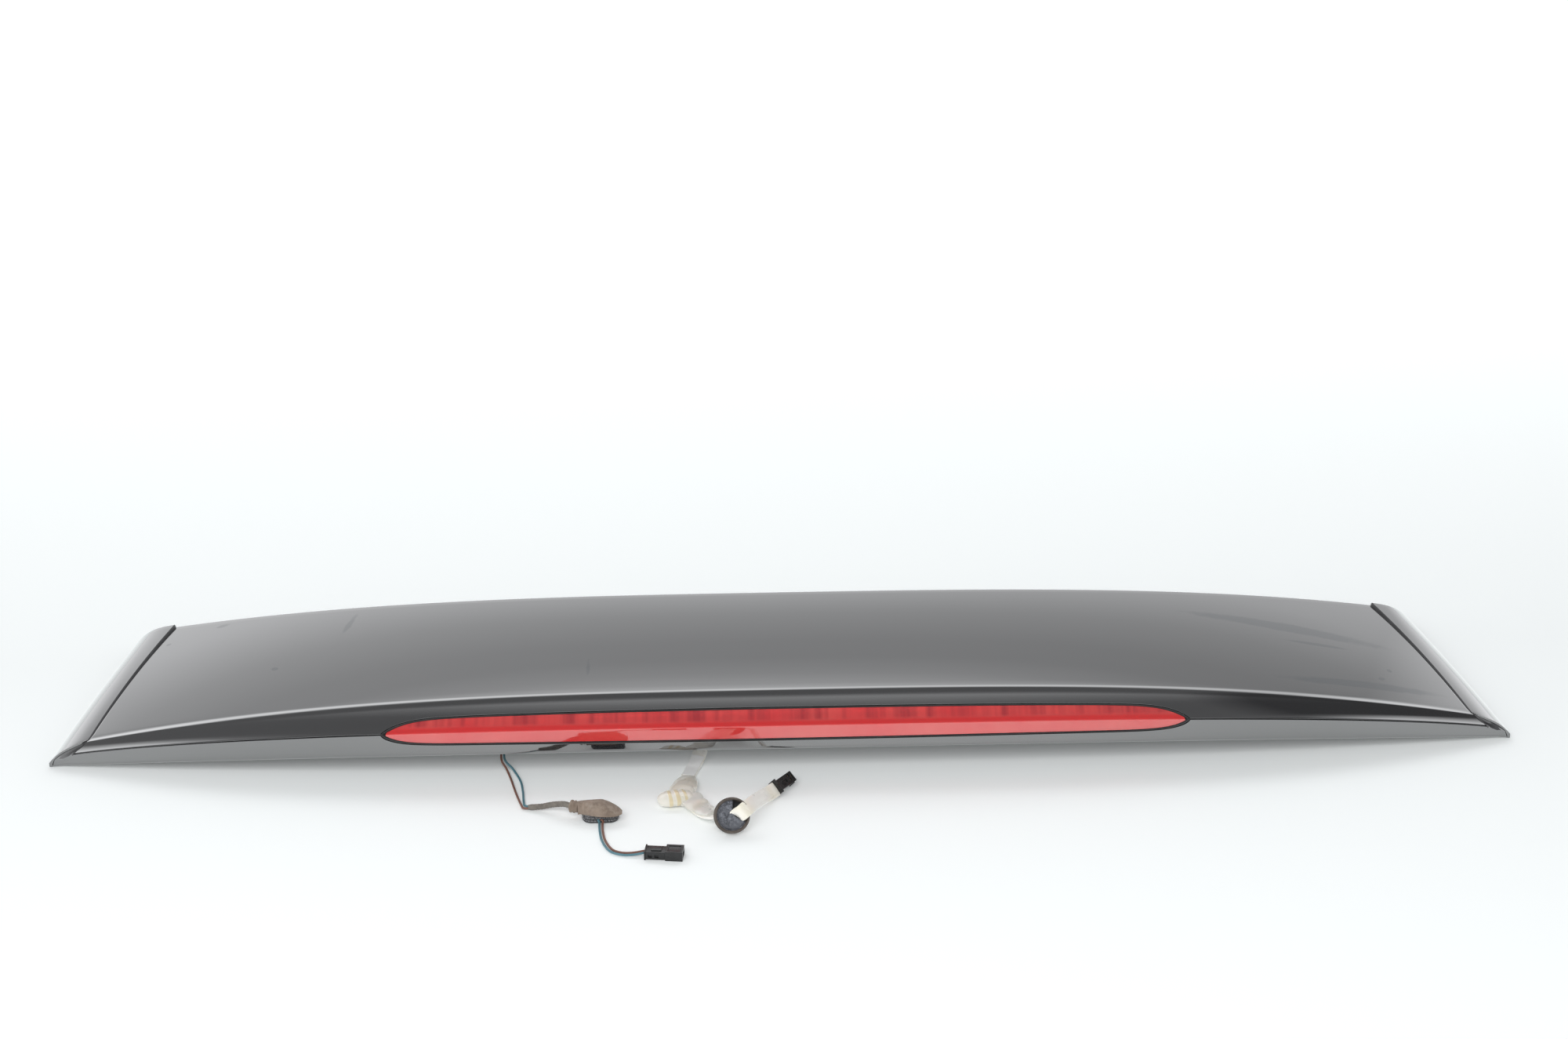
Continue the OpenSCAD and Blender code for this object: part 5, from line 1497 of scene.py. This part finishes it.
@dataclass
class AerialLead:
    """The flat lead: label, taped fold, rubber disc and small connector."""

    finishes: Finishes
    form: Form
    width: float = 12.0
    thickness: float = 2.4
    exit_x: float = -68.0
    exit_y: float = -98.0
    disc_place: tuple[float, float, float] = (-46.0, -223.0, 13.9)
    disc_lean: float = 60.0
    disc_turn: float = 6.0
    sector_middle: float = 0.45
    sector_half: float = 1.05
    sector_depth: float = 2.6

    def build(self) -> None:
        foot = float(self.form.under_at(self.exit_x, self.exit_y)) - 1.7
        first = [[-68, -98, foot + 0.05], [-68.4, -99.4, foot - 9], [-70, -103.5, 9.5],
                 [-72.5, -110, 4], [-76, -120, 1.7], [-78.6, -129.5, 1.5], [-80.6, -137.5, 1.5]]
        middle = [[-83, -152, 3.4], [-84, -169, 3.4], [-78.5, -179.5, 1.9], [-72, -192, 2.6],
                  [-66, -204, 4.6], [-60, -211.5, 7], [-53, -214.3, 9], [-48.2, -216.6, 11],
                  [-46.5, -219.5, 12.5]]
        last = [[-44.5, -221.5, 13.6], [-39.6, -225.4, 16.6], [-35, -222.8, 19.2], [-27.5, -204.5, 15.6],
                [-20.5, -187.5, 10.6], [-15, -176.8, 8], [-10.7, -169.4, 7]]
        lean = ([[1, -0.2, 0]] * 7 + [[0.95, 0.1, 0]] + [[0.86, 0.5, 0.05]] * 3
                + [[0.9, 0.35, 0.03]] * 2 + [[0.95, 0.25, 0.02], [0.98, 0.15, 0]] + [[1, 0.1, 0]] * 2
                + [[0.627, -0.341, -0.7]] * 5 + [[0.58, -0.37, -0.73]] * 2)
        rows = [p + r for p, r in zip(first + middle + last, lean)]
        smooth = weave(rows, 8)
        path, reference = smooth[:, :3], smooth[:, 3:]
        lead = self.make_lead(path, reference)
        label = self.make_label(weave([p + [1, -0.2, 0] for p in first], 8))
        wrap = self.make_wrap()
        loose = self.make_loose_film()
        disc = self.make_disc()
        plug, contacts = self.make_plug()

    def profile(self, width: float, thickness: float, rib: float = 0.0) -> Array:
        """Flat oval section, ribbed by the cores under the film."""
        angle = (np.arange(48) + 0.5) / 48 * 2 * math.pi
        c, s = np.cos(angle), np.sin(angle)
        x = np.sign(c) * np.abs(c) ** 0.45 * width / 2
        y = np.sign(s) * np.abs(s) ** 0.6 * thickness / 2 * (1 - rib + rib * np.abs(np.cos(x * 1.55)))
        return np.stack([x, y], axis=1)

    def make_lead(self, path: Array, reference: Array) -> bpy.types.Object:
        """Flat lead, swept from its bush through the fold and the disc to its connector."""
        rings = sweep(path, self.profile(self.width, self.thickness, 0.16), reference)
        return make("flat_lead_film", Patch.of_rings(rings, turn=0.028), "lead_film",
                    self.finishes.film, replaces=["flat_lead", "flat_lead_mid", "flat_lead_tail"])

    def make_label(self, rows: Array) -> bpy.types.Object:
        """Bare tape on the lead: it starts and ends on the lead and bows over it."""
        path, reference = rows[22:46, :3], rows[22:46, 3:]
        ends = np.concatenate([path[:1], path, path[-1:]])
        heading = unit(ends[2:] - ends[:-2])
        side = unit(reference - heading * (reference * heading).sum(1, keepdims=True))
        up = np.cross(heading, side)
        rings = sweep(path + up * 1.42, self.profile(10.4, 0.4), reference)
        return make("bare_label", Patch.of_rings(rings), "label_paper", self.finishes.label,
                    replaces=["lead_label"])

    @staticmethod
    def bundle(table: Sequence[Sequence[float]], side: Sequence[float], crumple: float,
               bands: Sequence[float] = ()) -> Patch:
        """Soft bundle: oval rings whose size follows a given table.

        The radius swells by a crumple that runs round and along it, and by a flat band of
        tape at each of the given shares of its length.

        Args:
            table: Rows of x, y, height of the middle, half width and half height.
            side: Sideways direction of the rings.
            crumple: Size of the folds as a share of the radius.
            bands: Places of the tape.

        Returns:
            The patch; tape has finish number 1.
        """
        rows = weave(table, 16)
        share = length_along(rows[:, :3])
        share = share / share[-1]
        angle = ((np.arange(56) + 0.5) / 56 * 2 * math.pi)[None]
        folds = (np.sin(angle * 3 + share[:, None] * 7) + 0.6 * np.sin(angle * 7 - share[:, None] * 16)
                 + 0.5 * np.sin(angle * 2 + share[:, None] * 31))
        near = np.zeros(len(rows))
        for place in bands:
            near = np.maximum(near, np.clip((0.05 - np.abs(share - place)) / 0.01, 0, 1))
        grow = 1 + crumple * folds * (1 - near[:, None]) * np.sin(share * math.pi)[:, None] + 0.035 * near[:, None]
        loops = np.stack([np.cos(angle) * rows[:, 3:4] * grow, np.sin(angle) * rows[:, 4:5] * grow], axis=-1)
        rings = sweep(rows[:, :3], loops, side)
        rings[..., 2] = np.maximum(rings[..., 2], 0.12)
        patch = Patch.of_rings(rings, turn=0.05)
        taped = (near[:-1] + near[1:]) / 2 > 0.5
        patch.band = [int(value) for value in np.repeat(taped, 56)] + [0, 0]
        return patch

    def make_wrap(self) -> bpy.types.Object:
        """Taped fold: a soft pouch down from the label, and a rolled loop that three tapes hold."""
        pouch = self.bundle([
            [-80.4, -137, 2.0, 6.3, 1.7], [-81.5, -146, 3.4, 8.6, 2.9], [-83, -156, 4.2, 10.4, 3.8],
            [-84.2, -166, 4.6, 10.6, 4.2], [-83.5, -176, 4.4, 8.6, 3.9], [-81.5, -184, 3.4, 4.6, 2.6]],
            [1, 0.05, 0], 0.035)
        roll = self.bundle([
            [-76, -172, 4.0, 3.4, 2.6], [-80.5, -174.5, 4.8, 7.4, 4.4], [-87, -177, 5.5, 9.2, 5.2],
            [-93, -178.5, 5.5, 9.6, 5.3], [-98.5, -179.5, 5.3, 8.6, 5.0], [-102.4, -180, 4.8, 5.6, 3.8],
            [-104, -180.2, 4.5, 2.2, 1.6]],
            [0, 1, 0], 0.022, (0.30, 0.49, 0.68))
        return make("taped_fold", Patch.join([pouch, roll]), "wrap_film", self.finishes.wrap,
                    self.finishes.tape, replaces=["lead_wrap"], sharp=70)

    def make_loose_film(self) -> bpy.types.Object:
        """Loose film that runs from the fold along the lead to the disc, narrowing on its way."""
        table = weave([
            [-80, -175, 4.6, 10.5, 2.6, 0.86, 0.5], [-75.5, -183.5, 4.6, 10.2, 2.3, 0.9, 0.4],
            [-70, -193, 5.0, 9.0, 2.1, 0.92, 0.35], [-64.5, -202.5, 6.4, 7.8, 2.0, 0.92, 0.35],
            [-59.5, -208.5, 8.0, 7.0, 1.9, 0.95, 0.25]], 12)
        angle = ((np.arange(48) + 0.5) / 48 * 2 * math.pi)[None]
        ripple = 1 + 0.06 * np.sin(length_along(table[:, :3])[:, None] * 0.5 + 2 * np.sin(angle))
        loops = np.stack([
            np.sign(np.cos(angle)) * np.abs(np.cos(angle)) ** 0.7 * table[:, 3:4] * ripple,
            np.sin(angle) * table[:, 4:5] * ripple], axis=-1)
        reference = np.concatenate([table[:, 5:7], np.zeros((len(table), 1))], axis=1)
        rings = sweep(table[:, :3], loops, reference)
        rings[..., 2] = np.maximum(rings[..., 2], 0.15)
        return make("loose_film", Patch.of_rings(rings, turn=0.05), "wrap_film", self.finishes.loose,
                    sharp=70)

    def make_disc(self) -> bpy.types.Object:
        """Round rubber disc: double rim, domed face, and a sunken sector where the lead comes out,
        whose faces take plain black rubber as painted shade.

        The face sinks by the product of a smooth step of the angle from the sector's middle
        and one of the radius, so the sector is deepest halfway out.
        """
        turn = (Matrix.Rotation(math.radians(self.disc_turn), 4, "Z")
                @ Matrix.Rotation(math.radians(self.disc_lean), 4, "X"))
        rim = [(0.01, -2.1), (8.5, -2.1), (9.2, -2.5), (13.3, -2.5), (13.8, -2.3), (14.0, -1.9),
               (14.0, -1.0), (12.7, -0.6), (12.5, 0.0), (12.7, 0.6), (14.0, 0.9), (14.0, 1.9), (13.7, 2.35),
               (13.2, 2.5), (12.5, 2.5), (12.0, 2.1), (11.6, 1.3), (11.1, 1.2)]
        face = [(r, 1.2 + 2.6 * math.sqrt(1 - (r / 11.4) ** 2)) for r in (10.4, 9.4, 8.0, 6.5, 5.0, 3.5, 2.0)]
        profile = np.array(rim + face + [(0.01, 3.8)])
        circle = ring_round(96)
        angle = np.arctan2(circle[:, 1], circle[:, 0])[None]
        radius = profile[:, :1]
        aside = np.abs((angle - self.sector_middle + math.pi) % (2 * math.pi) - math.pi)
        sunk = ease((self.sector_half - aside) / 0.22) * ease((radius - 0.8) / 2.4) * ease((12.4 - radius) / 1.0)
        sunk = sunk * (np.arange(len(profile))[:, None] >= len(rim) - 3)
        rings = np.concatenate([
            radius[..., None] * circle[None],
            (profile[:, 1:] - self.sector_depth * sunk)[..., None]], axis=-1)
        rings = rings @ np.array(turn.to_3x3()).T + np.asarray(self.disc_place)
        patch = Patch.of_rings(rings)
        # Faces of the sunken sector take finish 1, plain black rubber without dust: painted shade round the lead.
        quads = np.where((sunk[:-1] + sunk[1:]) / 2 > 0.3, 1, 0)
        quads[:len(rim) - 2] = 2
        patch.band = quads.ravel().tolist() + [2, 0]
        return make("rubber_disc", patch, "black_rubber", self.finishes.disc, self.finishes.rubber,
                    self.finishes.rim, replaces=["round_grommet"], sharp=48)

    def make_plug(self) -> tuple[bpy.types.Object, bpy.types.Object]:
        """Small connector with moulded edges, and its contacts."""
        return (softened("lead_plug", "lead_connector", 0.25, self.finishes.black),
                softened("lead_contacts", "connector_contacts", 0.1, self.finishes.contact))


@dataclass
class Studio:
    """Camera as the photograph was taken, pale floor, one soft lamp and the room's light."""

    lens: float = 55.28
    distance: float = 1900.0
    pitch: float = 0.3863
    yaw: float = 0.0307
    roll: float = -0.0057
    shift_x: float = 0.58
    aim_height: float = 206.33
    tip_y: float = -94.0
    floor_glow: float = 0.12
    far_glow: float = 0.46
    floor_mirrored: float = 0.32
    front_power: float = 55.0
    beside: float = 1.1
    left_bias: float = 0.45
    behind: tuple[tuple[float, float], ...] = (
        (0.0, 0.90), (0.09, 0.90), (0.2, 0.84), (0.31, 0.63), (0.40, 0.55), (0.45, 0.56), (0.49, 0.68),
        (0.54, 1.05), (0.60, 1.7), (0.68, 2.0), (0.77, 1.6), (0.84, 0.5), (0.92, 0.2))
    ahead: tuple[tuple[float, float], ...] = ((0.0, 0.86), (0.15, 0.76), (0.45, 0.5), (0.8, 0.27), (1.0, 0.24))
    right_front: tuple[tuple[float, float], ...] = ((0.67, 1.0), (0.71, 0.36))
    side_windows: tuple[tuple[float, float], ...] = ((0.24, 0.25), (0.30, 0.0), (0.70, 0.0), (0.77, 0.75))

    def camera(self) -> None:
        """Places the camera: the fitted pose, turned back into the object's own axes."""
        c, s = math.cos(self.yaw), math.sin(self.yaw)
        away = (-self.shift_x, -self.distance * math.cos(self.pitch))
        place = Vector((c * away[0] + s * away[1], -s * away[0] + c * away[1] + self.tip_y,
                        self.aim_height + self.distance * math.sin(self.pitch))) * MM
        look = Vector((s * math.cos(self.pitch), c * math.cos(self.pitch), -math.sin(self.pitch)))
        right = look.cross(Vector((0, 0, 1))).normalized()
        up = right.cross(look)
        cr, sr = math.cos(self.roll), math.sin(self.roll)
        data = bpy.data.cameras.new("camera")
        data.lens, data.sensor_width = self.lens, 36.0
        data.clip_start, data.clip_end = 0.05, 50.0
        camera = bpy.data.objects.new("camera", data)
        turned = Matrix((cr * right + sr * up, cr * up - sr * right, -look)).transposed()
        camera.matrix_world = Matrix.Translation(place) @ turned.to_4x4()
        bpy.context.scene.collection.objects.link(camera)
        bpy.context.scene.camera = camera

    def pale(self, name: str, tone: Colour, glow: float, mirrored: float) -> bpy.types.Material:
        """Pale stage material: lit tone, lifted for the camera and for reflections."""
        tree = Tree(name)
        path = tree.node("ShaderNodeLightPath")
        lit = tree.node("ShaderNodeBsdfDiffuse", {"Color": (*tone, 1.0)}).outputs[0]
        depth = tree.node("ShaderNodeSeparateXYZ", {0: tree.place()}).outputs[1]
        lift = tree.sum("ADD", glow, tree.span(depth, 0.1, 1.7, 0.0, self.far_glow))
        seen = tree.sum("MULTIPLY", path.outputs["Is Camera Ray"], lift)
        mirror = tree.sum("MAXIMUM", path.outputs["Is Glossy Ray"], path.outputs["Is Transmission Ray"])
        shine = tree.node("ShaderNodeEmission", {
            "Color": (0.96, 1.0, 0.995, 1.0),
            "Strength": tree.sum("ADD", seen, tree.sum("MULTIPLY", mirror, mirrored))}).outputs[0]
        both = tree.node("ShaderNodeAddShader", {0: lit, 1: shine}).outputs[0]
        tree.material.node_tree.links.new(both, tree.output.inputs["Surface"])
        return tree.material

    def room(self) -> bpy.types.World:
        """Room as the polished faces see it.

        Behind the object it is pale near the horizon, duller above and bright under the
        ceiling; in front it is dark; both sides are pale. All three are functions of the
        direction looked at.
        """
        world = bpy.data.worlds.new("room")
        world.use_nodes = True
        links, nodes = world.node_tree.links, world.node_tree.nodes
        way = nodes.new("ShaderNodeSeparateXYZ")
        links.new(nodes.new("ShaderNodeTexCoord").outputs["Generated"], way.inputs[0])

        def maths(kind: str, a: Any, b: Any = 0.0) -> bpy.types.NodeSocket:
            """One step of arithmetic in the room's tree."""
            node = nodes.new("ShaderNodeMath")
            node.operation = kind
            for socket, value in zip(node.inputs, (a, b)):
                if isinstance(value, bpy.types.NodeSocket):
                    links.new(value, socket)
                else:
                    socket.default_value = value
            return node.outputs[0]

        def ramp(value: Any, stops: Sequence[tuple[float, float]]) -> bpy.types.NodeSocket:
            """Brightness, half of the wanted one, between stops of place and brightness."""
            node = nodes.new("ShaderNodeValToRGB")
            links.new(value, node.inputs[0])
            while len(node.color_ramp.elements) < len(stops):
                node.color_ramp.elements.new(0.5)
            for element, (place, tone) in zip(node.color_ramp.elements, sorted(stops)):
                element.position, element.color = place, (tone / 2, tone / 2, tone / 2, 1.0)
            return node.outputs[0]

        def blend(share: Any, a: Any, b: Any) -> bpy.types.NodeSocket:
            """Mix of two tones by a share."""
            return maths("ADD", maths("MULTIPLY", a, maths("SUBTRACT", 1.0, share)),
                         maths("MULTIPLY", b, share))

        behind = ramp(way.outputs[2], self.behind)
        ahead = ramp(way.outputs[2], self.ahead)
        facing = ramp(maths("ADD", maths("MULTIPLY", way.outputs[1], 0.5), 0.5), [(0.62, 0.0), (0.72, 2.0)])
        aside = ramp(maths("ABSOLUTE", way.outputs[0]), [(0.80, 0.0), (0.96, 2.0)])
        slant = maths("SUBTRACT", 1.0, maths("MULTIPLY", way.outputs[0], self.left_bias))
        across = maths("ADD", maths("MULTIPLY", way.outputs[0], 0.5), 0.5)
        ahead = maths("MULTIPLY", ahead, maths("MULTIPLY", ramp(across, self.right_front), 2.0))
        behind = maths("ADD", maths("MULTIPLY", behind, slant), ramp(across, self.side_windows))
        tone = blend(aside, blend(facing, ahead, behind), self.beside / 2)
        background = nodes["Background"]
        background.inputs[0].default_value = (0.975, 0.985, 1.0, 1.0)
        links.new(maths("MULTIPLY", tone, 2.0), background.inputs[1])
        return world

    def plane(self, name: str, rows: Sequence[Sequence[float]], material: bpy.types.Material) -> None:
        """One sheet of the stage through the given corners, in metres."""
        mesh = bpy.data.meshes.new(name)
        mesh.from_pydata(rows, [], [tuple(range(len(rows)))])
        mesh.materials.append(material)
        sheet = bpy.data.objects.new(name, mesh)
        bpy.context.scene.collection.objects.link(sheet)

    def lamp(self, name: str, place: Sequence[float], aim: Sequence[float], size: tuple[float, float],
             power: float, shown: bool = True) -> None:
        """Soft rectangular lamp, aimed at a point.

        Args:
            name: Its name.
            place, aim: Where it stands and what it looks at, in metres.
            size: Width and height in metres.
            power: Watts.
            shown: Whether polished faces mirror it.
        """
        data = bpy.data.lights.new(name, "AREA")
        data.shape, data.size, data.size_y, data.energy = "RECTANGLE", size[0], size[1], power
        lamp = bpy.data.objects.new(name, data)
        lamp.location = place
        way = Vector(aim) - Vector(place)
        lamp.rotation_euler = way.to_track_quat("-Z", "Y").to_euler()
        lamp.visible_glossy = shown
        bpy.context.scene.collection.objects.link(lamp)

    def build(self) -> None:
        """Sets up the stage round the object."""
        floor = self.pale("pale_floor", (0.91, 0.935, 0.935), self.floor_glow, self.floor_mirrored)
        self.plane("floor", [(-12, -14, 0), (12, -14, 0), (12, 14, 0), (-12, 14, 0)], floor)
        self.lamp("soft_front", (-0.5, -2.4, 2.0), (-0.1, -0.2, 0.0), (2.6, 1.4), self.front_power, False)
        bpy.context.scene.world = self.room()
        bpy.context.scene.view_settings.view_transform = "Standard"


def main() -> None:
    """Builds the whole object in order."""
    logging.basicConfig(level=logging.INFO, format="%(name)s: %(message)s")
    studio = Studio()
    studio.camera()
    finishes = Finishes()
    form = Form()
    LampLead(finishes, form).build()
    AerialLead(finishes, form).build()
    finishes.dress_nodes()
    Moulding(form, finishes).build()
    BrakeLamp(form, finishes).build()
    Fixings(finishes).build()
    studio.build()


if __name__ == "__main__":
    main()
